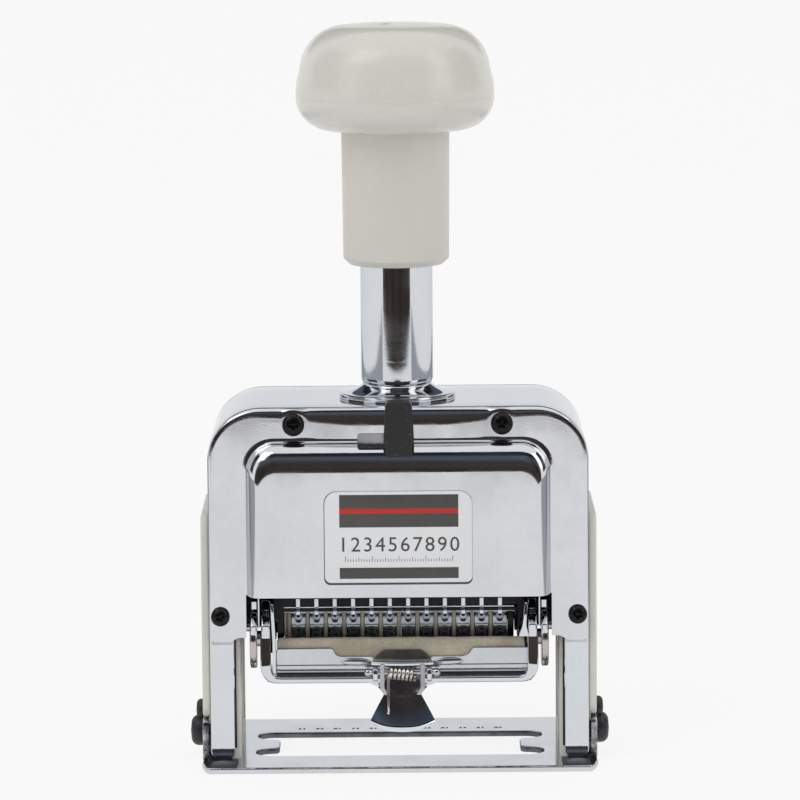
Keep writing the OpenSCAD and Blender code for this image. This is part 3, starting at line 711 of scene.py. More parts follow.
# how far in from the foot line, how far out from the cover
shoulder = [
    (-0.25, 0.0), (-0.10, 0.06), (0.0, 0.20), (0.07, 0.42), (0.14, 0.74), (0.26, 1.14), (0.48, 1.62),
    (0.85, 2.12), (1.36, 2.58), (2.00, 2.95), (2.72, 3.22), (3.45, 3.40), (4.15, 3.51), (4.75, 3.57),
    (5.15, 3.595), (5.45, 3.60)]
rearShoulder = [(d, h * 2.4 / 3.6) for d, h in shoulder]   # the rear panel is 2.4 mm high


def archLine(w, top, r, bottom, split, lower=6, upper=12, arc=20, across=120):
    # (x, z) from the left leg's end up, over and down; split is where the mouth begins
    side = [(-w, bottom + (split - bottom) * k / lower) for k in range(lower)]
    side += [(-w, split + (top - r - split) * k / upper) for k in range(upper)]
    turns = [math.pi / 2 * k / arc for k in range(arc)]
    side += [(-w + r - r * math.cos(a), top - r + r * math.sin(a)) for a in turns]
    flat = [(-(w - r) + 2 * (w - r) * k / across, top) for k in range(across + 1)]
    return side + flat + [(-x, z) for x, z in reversed(side)]


def rollWidth(s, x, z):
    # the rolled edge is widest over the middle, and flat beside the screws
    if z < s["top"] - s["radius"]:
        return s["rollSide"]
    corner = s["halfWidth"] - s["radius"]
    if abs(x) > corner:
        t = (abs(x) - corner) / s["radius"]
        return s["rollCorner"] + (s["rollSide"] - s["rollCorner"]) * min(1.0, t * 1.15)
    width = s["rollTop"] + (s["rollCorner"] - s["rollTop"]) * smoothstep(8.0, corner, abs(x))
    reach = s["screwFlat"]
    d = abs(abs(x) - s["screwX"])
    if d < reach + 0.9:
        flat = s["top"] - s["screwZ"] - math.sqrt(max(0.0, reach ** 2 - min(d, reach) ** 2))
        flat += max(0.0, d - reach) * 2.0
        width = min(width, max(0.3, flat))
    return width


def legEnd(s, w):
    # lower end of the cover's legs: round outside, a small rise inside
    r, outer = s["legRound"], s["halfWidth"] - w
    rise = r - math.sqrt(max(0.0, r * r - (r - outer) ** 2)) if outer < r else 0.0
    return s["bottom"] + rise + s["legDrop"] * min(1.0, max(0.0, (s["legInside"] - w) / s["legSlope"]))


def betweenRows(first, second, t, y):
    # row of points part of the way from one line of (x, z) to another
    return [(a + (c - a) * t, y, b + (d - b) * t) for (a, b), (c, d) in zip(first, second)]


legRows = 6     # rows of points in a cover's leg, below the mouth


def inwardNormals(line):
    normals = []
    for i in range(len(line)):
        a, b = line[max(0, i - 1)], line[min(len(line) - 1, i + 1)]
        tx, tz = b[0] - a[0], b[1] - a[1]
        n = math.hypot(tx, tz)
        normals.append((tz / n, -tx / n))
    return normals


def coverRows(s, outer, root):
    # from the rear of the rolled edge inwards to the foot line of the panel
    rollSteps, flatSteps = 8, 9
    inward = inwardNormals(outer)
    rows = []
    for k in range(rollSteps + 1):
        a = math.pi / 2 * k / rollSteps
        y = s["backY"] - math.sin(a) * (s["backY"] - s["frontY"])
        row = []
        for (x, z), (nx, nz) in zip(outer, inward):
            inset = rollWidth(s, x, z) * (1 - math.cos(a))
            row.append((x + nx * inset, y, z + nz * inset))
        rows.append(row)
    edge = rows[-1]
    for k in range(1, flatSteps + 1):
        t = k / flatSteps
        rows.append(betweenRows([(x, z) for x, y, z in edge], root, t, s["frontY"]))
    for row in rows:
        for leg in (range(legRows + 1), range(len(row) - 1, len(row) - legRows - 2, -1)):
            end = legEnd(s, abs(row[leg[0]][0]))
            for n, i in enumerate(leg):
                x, y, z = row[i]
                row[i] = (x, y, end + (s["mouthTop"] - end) * n / legRows)
    return rows


def panelRows(s, footLine, profile):
    # the raised panel, over the mouth only
    over = slice(legRows, -legRows)
    rows = []
    for d, h in profile:
        inset = d * s["sideShare"] + s["sideLean"] * smoothstep(0.0, 0.5, d)
        radius = max(1.2, s["rootRadius"] - d * 0.42)
        line = archLine(s["rootWidth"] - inset, s["rootTop"] - d, radius, s["bottom"], s["mouthTop"])
        rows.append([(x, s["frontY"] - h, z) for x, z in line[over]])
    rows[0] = footLine[over]
    face = rows[-1]
    for t in (0.12, 0.3, 0.55, 0.8):
        rows.append([(x * (1 - t * 0.999), y, z + (s["mouthTop"] - z) * t * 0.999) for x, y, z in face])
    return rows


def buildCover(name, node, s, profile, front=True, cutSlot=True):
    sign = 1 if front else -1
    outer = archLine(s["halfWidth"], s["top"], s["radius"], s["bottom"], s["mouthTop"])
    root = [s[key] + 0.25 for key in ("rootWidth", "rootTop", "rootRadius")]
    rows = coverRows(s, outer, archLine(*root, s["bottom"], s["mouthTop"]))
    panel = panelRows(s, rows[-1], profile)
    points = [(x, y * sign, z) for row in rows + panel for x, y, z in row]
    start, last = len(rows) * len(outer), len(points) - len(panel[0])
    faces = gridFaces(len(rows), len(outer)) + gridFaces(len(panel), len(panel[0]), start=start)
    faces.append(tuple(range(last, len(points))))
    thing = meshPiece(name, points, faces, "brightNickel", "frame", "nickel", [node], sharp=None,
                      merge=2e-5)
    flipTo(thing, (0, -sign, 0))
    thicken(thing, s["thickness"], evenOffset=False)
    if cutSlot:
        x0, x1, z0, z1 = s["slot"]
        cutBy(thing, *roundedBox(x0, x1, -22, -12, z0, z1, 0.5, 3))
    return sharpen(thing, 34)


def flipTo(thing, direction):
    # turns an open sheet's faces over if most look away from direction
    d = Vector(direction)
    total = sum((p.normal.dot(d) * p.area for p in thing.data.polygons), 0.0)
    if total < 0:
        thing.data.flip_normals()


def thicken(thing, thickness, evenOffset):
    # an open sheet gets its thickness on the inside
    settle(thing, ("SOLIDIFY", {"thickness": thickness * mm, "offset": -1.0, "use_even_offset": evenOffset,
                                "use_quality_normals": True}))


def cutBy(thing, points, faces):
    cutter = newObject("cutter", cleanMesh("cutter", points, faces, 1e-6))
    settle(thing, ("BOOLEAN", {"operation": "DIFFERENCE", "object": cutter, "solver": "EXACT"}))
    bpy.data.objects.remove(cutter)


buildCover("coverFrontShell", "front_cover", coverSettings, shoulder)
rearSettings = dict(coverSettings, rollTop=1.6, rollCorner=0.9)
buildCover("coverRearShell", "rear_cover", rearSettings, rearShoulder, front=False, cutSlot=False)

frameSettings = {
    "halfWidth": 36.0, "top": 68.8, "radius": 10.0, "bottom": 1.22, "depth": 15.0, "bend": 0.35,
    "openWidth": 31.35, "openTop": 64.6, "openRadius": 5.0, "stripBack": 13.8, "thickness": 1.1,
    "footHeight": 2.4, "footOut": 0.88, "footCorner": 2.2, "footRise": 6,
}


def frameArch(s, inset=0.0, opening=None):
    # line of the outside, or of the opening, moved in or out
    if opening is None:
        form = [s[key] - inset for key in ("halfWidth", "top", "radius")]
    else:
        form = [s[key] + opening for key in ("openWidth", "openTop", "openRadius")]
    return archLine(*form, s["bottom"], 8.0, lower=10, across=60)


def formFeet(s, rows):
    # the strips end in a foot with round corners that flares outwards
    middle, reach = (s["openWidth"] + s["halfWidth"]) / 2, (s["halfWidth"] - s["openWidth"]) / 2
    corner, bottom, rise = s["footCorner"], s["bottom"], s["footRise"]
    for row in rows:
        for i, (x, y, z) in enumerate(row):
            if abs(y) <= s["stripBack"] - 0.01:
                continue
            if z < bottom + rise:
                d = min(1.0, max(0.0, (abs(abs(x) - middle) - (reach - corner)) / corner))
                z += corner * 0.75 * (1 - math.sqrt(1 - d * d)) * (1 - (z - bottom) / rise) ** 2
            if z < bottom + s["footHeight"]:
                t = 1 - (z - bottom) / s["footHeight"]
                y = math.copysign(abs(y) + s["footOut"] * t * t, y)
            row[i] = (x, y, z)


def buildFrame(s):
    opening, soft, edge = frameArch(s, opening=0.0), frameArch(s, opening=0.15), frameArch(s, s["bend"])
    # half section from the opening's edge round to the middle of the top
    rows = [[(x, y, z) for x, z in opening] for y in (-s["stripBack"], -s["depth"] + 0.15)]
    rows.append([(x, -s["depth"], z) for x, z in soft])
    for t in (0.04, 0.1, 0.18, 0.3, 0.5, 0.7, 0.82, 0.9, 0.96, 1.0):
        rows.append(betweenRows(soft, edge, t, -s["depth"]))
    for k in range(1, 6):
        a = math.pi / 2 * k / 5
        y = -s["depth"] + s["bend"] * (1 - math.cos(a))
        rows.append([(x, y, z) for x, z in frameArch(s, s["bend"] * (1 - math.sin(a)))])
    rows += [[(x, y, z) for x, z in frameArch(s)] for y in (-9.0, -4.5, 0.0)]
    rows += [[(x, -y, z) for x, y, z in row] for row in reversed(rows[:-1])]
    formFeet(s, rows)
    points = [p for row in rows for p in row]
    thing = meshPiece("frameArch", points, gridFaces(len(rows), len(opening)), "polishedChrome", "frame",
                      "chrome", ["outer_frame"], sharp=None, merge=2e-5)
    summit = Vector((0, 0, s["top"] * mm))
    if min(thing.data.polygons, key=lambda p: (p.center - summit).length).normal.z < 0:
        thing.data.flip_normals()
    thicken(thing, s["thickness"], evenOffset=True)
    return sharpen(thing, 40)


buildFrame(frameSettings)
print("covers and frame made")

# Handle, tube and collar: turned shapes

knobSettings = {
    "radius": 18.9, "foot": 120.0, "top": 140.3, "boreRadius": 7.2, "boreTop": 127.5,
    "lowRadius": 6.4, "highRadius": 8.7, "partingZ": 126.35, "partingDepth": 0.07,
    "gate": (-1.4, -3.2, 0.75, 0.16),     # x, y, radius and depth of the moulding mark
}


def buildKnob(s):
    r = s["radius"]
    foot, top = s["foot"], s["top"]
    low = arcPoints(r - s["lowRadius"], foot + s["lowRadius"] + 0.1, s["lowRadius"], -90, -1, 18)
    high = arcPoints(r - 0.8 - s["highRadius"], top - 9.1, s["highRadius"], 5, 80, 22)
    p = s["partingZ"] + 0.15
    join = [(r, p - 0.14), (r - s["partingDepth"], p), (r - 0.03, p + 0.14), (r - 0.05, p + 1.2),
            (r - 0.22, p + 3.0)]
    outer = [(s["boreRadius"], foot), (s["boreRadius"] + 0.1, foot)] + low + join + high
    end = high[-1]
    for k in range(1, 15):
        t = k / 14
        outer.append((end[0] * (1 - t), end[1] + (top - end[1]) * (1 - (1 - t) ** 2.1)))
    inner = [(0, s["boreTop"]), (s["boreRadius"], s["boreTop"])]
    points, faces = lathe(outer + inner, 160)
    gx, gy, gr, deep = s["gate"]
    shaped = []
    for x, y, z in points:
        d = math.hypot(x - gx, y - gy)
        if z > 136 and d < gr * 1.6:
            z -= deep * (1 - smoothstep(gr * 0.75, gr * 1.1, d))
            z += 0.05 * math.exp(-((d - gr * 1.15) / 0.15) ** 2)
        shaped.append((x, y, z))
    return meshPiece("knobShell", shaped, faces, "knobMoulding", "plunger", "ivory_knob", ["handle_knob"],
                     sharp=45)


sleeveSettings = {"radius": 10.3, "footRadius": 10.08, "bore": 7.2, "foot": 94.4, "top": 120.3,
                  "chamfer": 1.15}


def buildSleeve(s):
    r, z, c = s["footRadius"], s["foot"], s["chamfer"]
    profile = [
        (s["bore"], s["top"]), (s["bore"], z + 0.4), (s["bore"] + 0.4, z), (r - c - 0.25, z),
        (r - c - 0.05, z + 0.05), (r - c + 0.08, z + 0.14), (r - 0.16, z + c - 0.14),
        (r - 0.04, z + c + 0.02), (r, z + c + 0.25)]
    for k in range(1, 12):
        t = k / 12
        profile.append((r + (s["radius"] - r) * t, z + c + 0.25 + (s["top"] - z - c - 0.25) * t))
    profile.append((s["radius"], s["top"]))
    points, faces = lathe(profile, 128)
    return meshPiece("sleeveShell", points, faces, "sleeveMoulding", "plunger", "ivory_knob",
                     ["handle_sleeve"], sharp=35)


tubeSettings = {"radius": 6.9, "neck": 6.5, "bore": 6.1, "rod": 2.9, "foot": 71.4, "top": 107.6,
                "footRound": 1.3}


def buildTube(s):
    r = s["radius"]
    profile = [(s["rod"], 63.4), (s["neck"], 63.4), (s["neck"], s["foot"] - 0.05)]
    profile += arcPoints(r - s["footRound"], s["foot"] + s["footRound"], s["footRound"], -34, 0, 8)
    low, high = s["foot"] + s["footRound"], s["top"] - 0.3
    profile += [(r, low + (high - low) * k / 12) for k in range(1, 12)]
    profile += [(r, s["top"] - 0.3), (r - 0.15, s["top"] - 0.05), (r - 0.35, s["top"]),
                (s["bore"], s["top"]), (s["bore"], s["foot"] + 1.2), (s["rod"], s["foot"] + 1.2)]
    points, faces = lathe(profile, 128)
    return meshPiece("tubeShell", points, faces, "polishedChrome", "frame", "chrome", ["guide_tube"],
                     sharp=40)


collarSettings = {"neck": 6.45, "rim": 11.1, "base": 68.8, "washer": 0.42, "groove": 0.4, "rimTop": 0.98,
                  "dish": 6.6, "dishCentre": (10.8, 7.61)}


def buildCollar(s):
    z, rim, g = s["base"], s["rim"], s["groove"]
    w, t = s["washer"], s["rimTop"]
    profile = [
        (s["neck"], z), (rim - 0.08, z), (rim, z + 0.08), (rim, z + w - 0.08), (rim - 0.08, z + w),
        (rim - g, z + w + 0.03), (rim - g, z + w + 0.12), (rim - 0.1, z + w + 0.15),
        (rim - 0.02, z + w + 0.24), (rim, z + t - 0.16), (rim - 0.05, z + t - 0.05), (rim - 0.16, z + t)]
    cx, cz = s["dishCentre"]
    profile += [(px, z + pz) for px, pz in arcPoints(cx, cz, s["dish"], -94, -130.2, 20)]
    last = profile[-1]
    profile += [(last[0] - 0.05, last[1] + 0.12), (s["neck"] + 0.02, last[1] + 0.2),
                (s["neck"], last[1] + 0.1)]
    points, faces = lathe(profile, 128)
    return meshPiece("collarRing", points, faces, "polishedChrome", "frame", "chrome", ["tube_collar"],
                     sharp=35)


buildKnob(knobSettings)
buildSleeve(sleeveSettings)
buildTube(tubeSettings)
buildCollar(collarSettings)
print("handle made")

# What repeats is placed by one tree: a copy of a part on every point, turned as the point says


def makeCopyTree():
    tree = bpy.data.node_groups.new("copiesOnPoints", "GeometryNodeTree")
    tree.interface.new_socket("Geometry", in_out="INPUT", socket_type="NodeSocketGeometry")
    tree.interface.new_socket("Part", in_out="INPUT", socket_type="NodeSocketObject")
    tree.interface.new_socket("Finish", in_out="INPUT", socket_type="NodeSocketMaterial")
    tree.interface.new_socket("Geometry", in_out="OUTPUT", socket_type="NodeSocketGeometry")
    start, end = tree.nodes.new("NodeGroupInput"), tree.nodes.new("NodeGroupOutput")
    info = tree.nodes.new("GeometryNodeObjectInfo")
    info.inputs["As Instance"].default_value = True
    place = tree.nodes.new("GeometryNodeInstanceOnPoints")
    turn = tree.nodes.new("GeometryNodeInputNamedAttribute")
    turn.data_type = "FLOAT_VECTOR"
    turn.inputs["Name"].default_value = "turn"
    real = tree.nodes.new("GeometryNodeRealizeInstances")
    paint = tree.nodes.new("GeometryNodeSetMaterial")
    links = tree.links
    links.new(start.outputs["Geometry"], place.inputs["Points"])
    links.new(start.outputs["Part"], info.inputs["Object"])
    links.new(info.outputs["Geometry"], place.inputs["Instance"])
    links.new(turn.outputs["Attribute"], place.inputs["Rotation"])
    links.new(place.outputs["Instances"], real.inputs["Geometry"])
    links.new(real.outputs["Geometry"], paint.inputs["Geometry"])
    links.new(start.outputs["Finish"], paint.inputs["Material"])
    links.new(paint.outputs["Geometry"], end.inputs["Geometry"])
    return tree


copyTree = makeCopyTree()


def placeCopies(name, part, places, material, body, slot, stands=(), sharp=35):
    # places of ((x, y, z) in millimetres, (turn about x, y, z) in degrees)
    mesh = bpy.data.meshes.new(name)
    mesh.from_pydata([tuple(c * mm for c in p) for p, turn in places], [], [])
    turns = mesh.attributes.new("turn", "FLOAT_VECTOR", "POINT")
    for i, (p, turn) in enumerate(places):
        turns.data[i].vector = [math.radians(a) for a in turn]
    host = newObject(name, mesh)
    modifier = host.modifiers.new("copies", "NODES")
    modifier.node_group = copyTree
    ids = {item.name: item.identifier for item in copyTree.interface.items_tree if item.in_out == "INPUT"}
    modifier[ids["Part"]] = part
    modifier[ids["Finish"]] = finish[material]
    result = evaluatedMesh(host)
    bpy.data.objects.remove(host)
    return dressPiece(name, result, material, body, slot, stands, sharp)


def patternPart(name, points, faces):
    # a part that is only copied, never shown itself
    thing = newObject(name, cleanMesh(name, points, faces, 1e-6))
    patterns.append(thing)
    return thing


patterns = []

# Screws, lever, buttons and label

screwSettings = {"dome": 1.62, "rim": 0.5, "recessWidth": 0.30, "recessLength": 1.12, "recessDepth": 0.75}


def buildScrewPattern(name, radius, s):
    # head on +Z with its underside at 0, and a short shank below
    profile = [(0, -2.15), (1.0, -2.15), (1.0, 0.0)]
    profile += [(radius - 0.12, 0.0), (radius, 0.1), (radius, s["rim"])]
    rise = s["dome"] - s["rim"]
    for k in range(1, 13):
        a = math.pi / 2 * k / 12
        profile.append((radius * math.cos(a) ** 0.72 if k < 12 else 0.0, s["rim"] + rise * math.sin(a)))
    points, faces = lathe(profile, 40)
    thing = patternPart(name, points, faces)
    w, l, top = s["recessWidth"], s["recessLength"] * radius / 2.1, s["dome"]
    deep = s["recessDepth"]
    for turn in (0, 90):
        a = math.radians(turn)
        ring = []
        for z, k in ((top - deep, 0.45), (top + 0.3, 1.12)):
            for px, py in ((-l * k, -w * k), (l * k, -w * k), (l * k, w * k), (-l * k, w * k)):
                ring.append((px * math.cos(a) - py * math.sin(a), px * math.sin(a) + py * math.cos(a), z))
        cutBy(thing, ring,
              [(0, 3, 2, 1), (4, 5, 6, 7), (0, 1, 5, 4), (1, 2, 6, 5), (2, 3, 7, 6), (3, 0, 4, 7)])
    settle(thing,
           ("BEVEL",
            {"width": 0.05 * mm, "segments": 2, "limit_method": "ANGLE", "angle_limit": math.radians(40)}))
    return thing


screwRows = {
    "frontUpperScrewHeads": ("front_upper_screws", 2.1, [(-19.65, 65.7, 0), (19.65, 65.7, 52)], -16.0),
    "frontLowerScrewHeads": ("front_lower_screws", 1.8, [(-33.85, 29.1, 68), (33.85, 29.1, 12)], -16.0),
    "rearScrewHeads": ("rear_cover_screws", 1.9,
                       [(-19.65, 65.7, 25), (19.65, 65.7, 70), (-33.85, 29.1, 5), (33.85, 29.1, 40)], 16.0),
}
for name, (node, radius, spots, y) in screwRows.items():
    pattern = buildScrewPattern(name + "Pattern", radius, screwSettings)
    tilt = 90 if y < 0 else -90
    places = [((x, y, z), (tilt, turn if y < 0 else -turn, 0)) for x, z, turn in spots]
    placeCopies(name, pattern, places, "blackScrewSteel", "frame", "black_screw", [node], sharp=40)

bevelledCopy("mode_lever", "leverBlock", "blackMoulding", "mode_selector", "black_plastic", width=0.4,
             steps=3)
for side in ("left", "right"):
    bevelledCopy(side + "_stop_button", side + "Button", "blackMoulding", side + "_button", "black_plastic",
                 width=0.12)

labelSettings = {
    "halfWidth": 13.9, "bottom": 36.1, "top": 53.5, "topRadius": 2.4, "footRadius": 1.2, "face": -19.95,
    "back": -19.6,
    # rim: the dark plate behind the label, its painted shadow
    "rim": (-14.05, 13.95, 35.66, 53.56),
    "bands": [(-11.1, 11.3, 46.7, 52.9), (-11.1, 11.3, 36.9, 39.0)],
    "stripe": (-11.1, 11.3, 49.3, 50.3),
    "figures": "1234567890", "figureHeight": 2.75, "figureBase": 42.1, "figureSpan": 21.0,
    "scaleBase": 40.15, "scaleTicks": 41, "scale": (-10.0, 20.2), "tickHeights": (1.05, 0.78, 0.48),
}


def roundedOutline(x0, x1, z0, z1, topR, footR, steps=8):
    corners = [(x1 - footR, z0 + footR, footR, -90), (x1 - topR, z1 - topR, topR, 0),
               (x0 + topR, z1 - topR, topR, 90), (x0 + footR, z0 + footR, footR, 180)]
    outline = []
    for cx, cz, r, start in corners:
        outline += arcPoints(cx, cz, r, start, start + 90, steps)
    return outline


def slab(outline, y0, y1, edge=0.06):
    # flat plate between y0 (front) and y1, with a small round at its front edge
    n = len(outline)
    cx = sum(p[0] for p in outline) / n
    cz = sum(p[1] for p in outline) / n

    def shrunk(d, y):
        ring = []
        for x, z in outline:
            inX = math.copysign(min(d, abs(x - cx)), x - cx)
            inZ = math.copysign(min(d, abs(z - cz)), z - cz)
            ring.append((x - inX, y, z - inZ))
        return ring

    rows = [(0, y1), (0, y0 + edge), (edge * 0.4, y0 + edge * 0.3), (edge, y0)]
    return skin([shrunk(*row) for row in rows])


def textPoints(body, size, depth=0.02, resolution=3):
    # figures as a mesh in X and Y, millimetres, with their depth along Z
    curve = bpy.data.curves.new("figures", "FONT")
    curve.body = body
    curve.size = size
    curve.extrude = depth / 2
    curve.resolution_u = resolution
    curve.align_x = "CENTER"
    thing = newObject("figures", curve)
    part = partOf(evaluatedMesh(thing))
    bpy.data.objects.remove(thing)
    return part


def buildLabel(s):
    face, back, rounds = s["face"], s["back"], (s["topRadius"], s["footRadius"])
    plate = slab(roundedOutline(-s["halfWidth"], s["halfWidth"], s["bottom"], s["top"], *rounds), face,
                 back + 0.02, 0.1)
    meshPiece("labelPlate", *plate, "labelFoil", "frame", "label", ["label_plate"], sharp=30)
    ink = face - 0.025
    parts = [slab(roundedOutline(*band, 0.05, 0.05, 2), ink, face + 0.02, 0.01) for band in s["bands"]]
    size = s["figureHeight"] / 0.70
    step = s["figureSpan"] / (len(s["figures"]) - 1)
    for i, figure in enumerate(s["figures"]):
        points, faces = textPoints(figure, size, 0.05)
        cx = -s["figureSpan"] / 2 + 0.1 + step * i
        points = [(x + cx, face - z, y + s["figureBase"]) for x, y, z in points]
        parts.append((points, [tuple(reversed(f)) for f in faces]))
    low = s["scaleBase"]
    first, span = s["scale"]
    tall, middling, short = s["tickHeights"]
    for i in range(s["scaleTicks"]):
        x = first + span * i / (s["scaleTicks"] - 1)
        high = low + (tall if i % 10 == 0 else middling if i % 5 == 0 else short)
        tick = [(x - 0.05, low), (x + 0.05, low), (x + 0.05, high), (x - 0.05, high)]
        parts.append(slab(tick, ink, face + 0.02, 0.005))
    # a dark plate behind it shows below and at the left, as the painted shadow of its edge
    parts.append(slab(roundedOutline(*s["rim"], *rounds), back - 0.06, back + 0.02, 0.02))
    joinMeshes("labelPrint", parts, "greyInk", "frame", "label")
    stripe = slab(roundedOutline(*s["stripe"], 0.05, 0.05, 2), ink - 0.02, face, 0.01)
    meshPiece("labelStripe", *stripe, "redInk", "frame", "label", sharp=30)


buildLabel(labelSettings)
print("screws, lever, buttons and label made")

# Sheet parts cut from outlines, with the soft edge that a punch leaves


def outlinePlate(outlines, plane, near, far, edge=0.2, rounds=2):
    # first outline is the rim, the others are holes; plane is "xy", "xz" or "yz"
    curve = bpy.data.curves.new("outline", "CURVE")
    curve.dimensions = "2D"
    curve.fill_mode = "BOTH"
    for outline in outlines:
        spline = curve.splines.new("POLY")
        spline.points.add(len(outline) - 1)
        for point, (u, v) in zip(spline.points, outline):
            point.co = (u, v, 0, 1)
        spline.use_cyclic_u = True
    curve.extrude = abs(far - near) / 2 - edge
    curve.bevel_depth = edge
    curve.bevel_resolution = rounds
    curve.offset = -edge
    thing = newObject("outline", curve)
    points, faces = partOf(evaluatedMesh(thing))
    bpy.data.objects.remove(thing)
    middle = (near + far) / 2
    order = {"xy": (0, 1, 2), "xz": (0, 2, 1), "yz": (2, 0, 1)}[plane]
    placed = [(u, w, h + middle) for u, w, h in points]
    return [tuple(p[k] for k in order) for p in placed], faces


baseSettings = {
    "halfWidth": 37.6, "halfDepth": 22.5, "thickness": 1.2, "cornerX": 1.7, "cornerY": 5.0,
    "corner": [(1, 0), (0.62, 0.1), (0.3, 0.42), (0, 1)],   # shares of cornerX and cornerY
    "window": (-11.7, 9.5), "slotX": 27.6, "tabX": 23.2, "tab": (-5.1, 3.1), "tabRound": 1.3,
    "earTop": 8.8, "earY": 14.0, "buttonGap": (-6.7, -0.1),
    "tickPitch": 3.5, "tickY": 12.2, "tickSize": (1.5, 1.15),
    "footShade": (30.7, 36.1, -21.7, -14.6, 0.8),   # x, x, y, y and corner radius
}


def windowOutline(s):
    y0, y1 = s["window"]
    t0, t1 = s["tab"]
    slotX, tabX, r = s["slotX"], s["tabX"], s["tabRound"]
    half = []
    half += arcPoints(slotX - (t0 - y0) / 2, (y0 + t0) / 2, (t0 - y0) / 2, -90, 78, 12)
    half += arcPoints(tabX + r, t0 + r, r, 268, 180, 6)
    half += arcPoints(tabX + r, t1 - r, r, 180, 92, 6)
    half += arcPoints(slotX - (y1 - t1) / 2, (y1 + t1) / 2, (y1 - t1) / 2, -82, 90, 12)
    return half + [(-x, y) for x, y in reversed(half)]


def buildBase(s):
    w, d, cx, cy = s["halfWidth"], s["halfDepth"], s["cornerX"], s["cornerY"]
    rim = []
    for sx, sy in ((1, -1), (1, 1), (-1, 1), (-1, -1)):
        corner = [(sx * (w - cx * u), sy * (d - cy * v)) for u, v in s["corner"]]
        rim += corner if sx * sy < 0 else corner[::-1]
    parts = [outlinePlate([rim, windowOutline(s)], "xy", 0.0, s["thickness"], 0.34, 3)]
    y0, y1 = s["buttonGap"]
    top, e = s["earTop"], s["earY"]
    ear = [(-e, 0.2), (e, 0.2)] + arcPoints(e - 1.2, top - 1.2, 1.2, 0, 90, 6)
    ear += [(y1 + 0.6, top)] + arcPoints(y1 - 0.9, 2.3, 0.9, 0, -90, 5)
    ear += arcPoints(y0 + 0.9, 2.3, 0.9, -90, -180, 5) + [(y0 - 0.6, top)]
    ear += arcPoints(-e + 1.2, top - 1.2, 1.2, 90, 180, 6)
    parts += bothSides(outlinePlate([ear], "yz", w - s["thickness"], w, 0.22, 2))
    # round of the bend at the ears' feet
    for side in (1, -1):
        for ends in ((-e + 0.2, y0 - 0.3), (y1 + 0.3, e - 0.2)):
            x = w - 2.6
            ring = [(x, 1.15), (x + 0.7, 1.3), (x + 1.15, 1.65), (x + 1.35, 2.3), (x + 1.45, 2.3),
                    (x + 1.45, 1.1)]
            parts.append(skin([[(u * side, y, z) for u, z in ring] for y in ends]))
    thing = joinMeshes("basePlate", parts, ["basePlateChrome", "cutEdge", "wornEdge"], "frame",
                       "base_steel", ["base_plate"])
    evenNormals(thing)
    inner, window = 28.2 * mm, 13.0 * mm
    for face in thing.data.polygons:   # punched edges in the window are dull and painted dark as shade in the slot, the outer ones rubbed bright in places
        place, normal = face.center, face.normal
        if abs(place.x) < inner and abs(place.y) < window and abs(normal.z) < 0.8:
            face.material_index = 1
        elif place.y < -(d - 0.5) * mm and normal.y < -0.1 and normal.z > 0.2:
            face.material_index = 2
        elif abs(place.x) > (w - 1.5) * mm and place.z > 1.6 * mm and abs(normal.x) < 0.9:
            face.material_index = 2
    # small plain marks along the rear rail, one for each wheel
    tw, td = s["tickSize"]
    low = s["thickness"] - 0.05
    marksAndShades = []
    for i in range(12):
        x, y = (i - 5.5) * s["tickPitch"], s["tickY"]
        for cx, wide in ((x - tw * 0.27, tw * (0.2 + 0.06 * (i % 3))),
                         (x + tw * 0.3, tw * (0.16 + 0.05 * (i % 2)))):
            mark = [(cx - wide, y), (cx + wide, y + td * 0.1), (cx + wide * 0.7, y + td),
                    (cx - wide * 0.5, y + td * 0.9)]
            marksAndShades.append(outlinePlate([mark], "xy", low, s["thickness"] + 0.03, 0.02, 0))
    # thin dark plates under the feet of the frame: painted shadow where the feet stand on the base
    for side in (1, -1):
        footShade = [(x * side, y) for x, y in roundRing(*s["footShade"])][::side]
        marksAndShades.append(outlinePlate([footShade], "xy", low, s["thickness"] + 0.04, 0.02, 0))
    joinMeshes("baseMarks", marksAndShades, "stampedRecess", "frame", "base_steel")


# painted shade as boxes with their edge: a near-black strip in the slit beside the frame's strips, and a dull
# band of chrome as painted shadow under the cover's legs
legShadeSettings = {
    "gap": (31.04, 31.38, -14.5, -13.84, 3.4, 25.2, 0.05),
    "band": (31.6, 35.6, -15.04, -14.9, 23.5, 24.4, 0.02),
}


def buildLegTrim(s):
    parts = []
    for side in (1, -1):
        for sign in (1, -1):
            for index, form in enumerate(("gap", "band")):
                points, faces = roundedBox(*s[form], 1)
                parts.append(([(x * side, y * sign, z) for x, y, z in points], faces, index))
    joinMeshes("legTrim", parts, ["blackOxide", "satinPlate"], "frame", "chrome")


buildBase(baseSettings)
buildLegTrim(legShadeSettings)
print("base made")
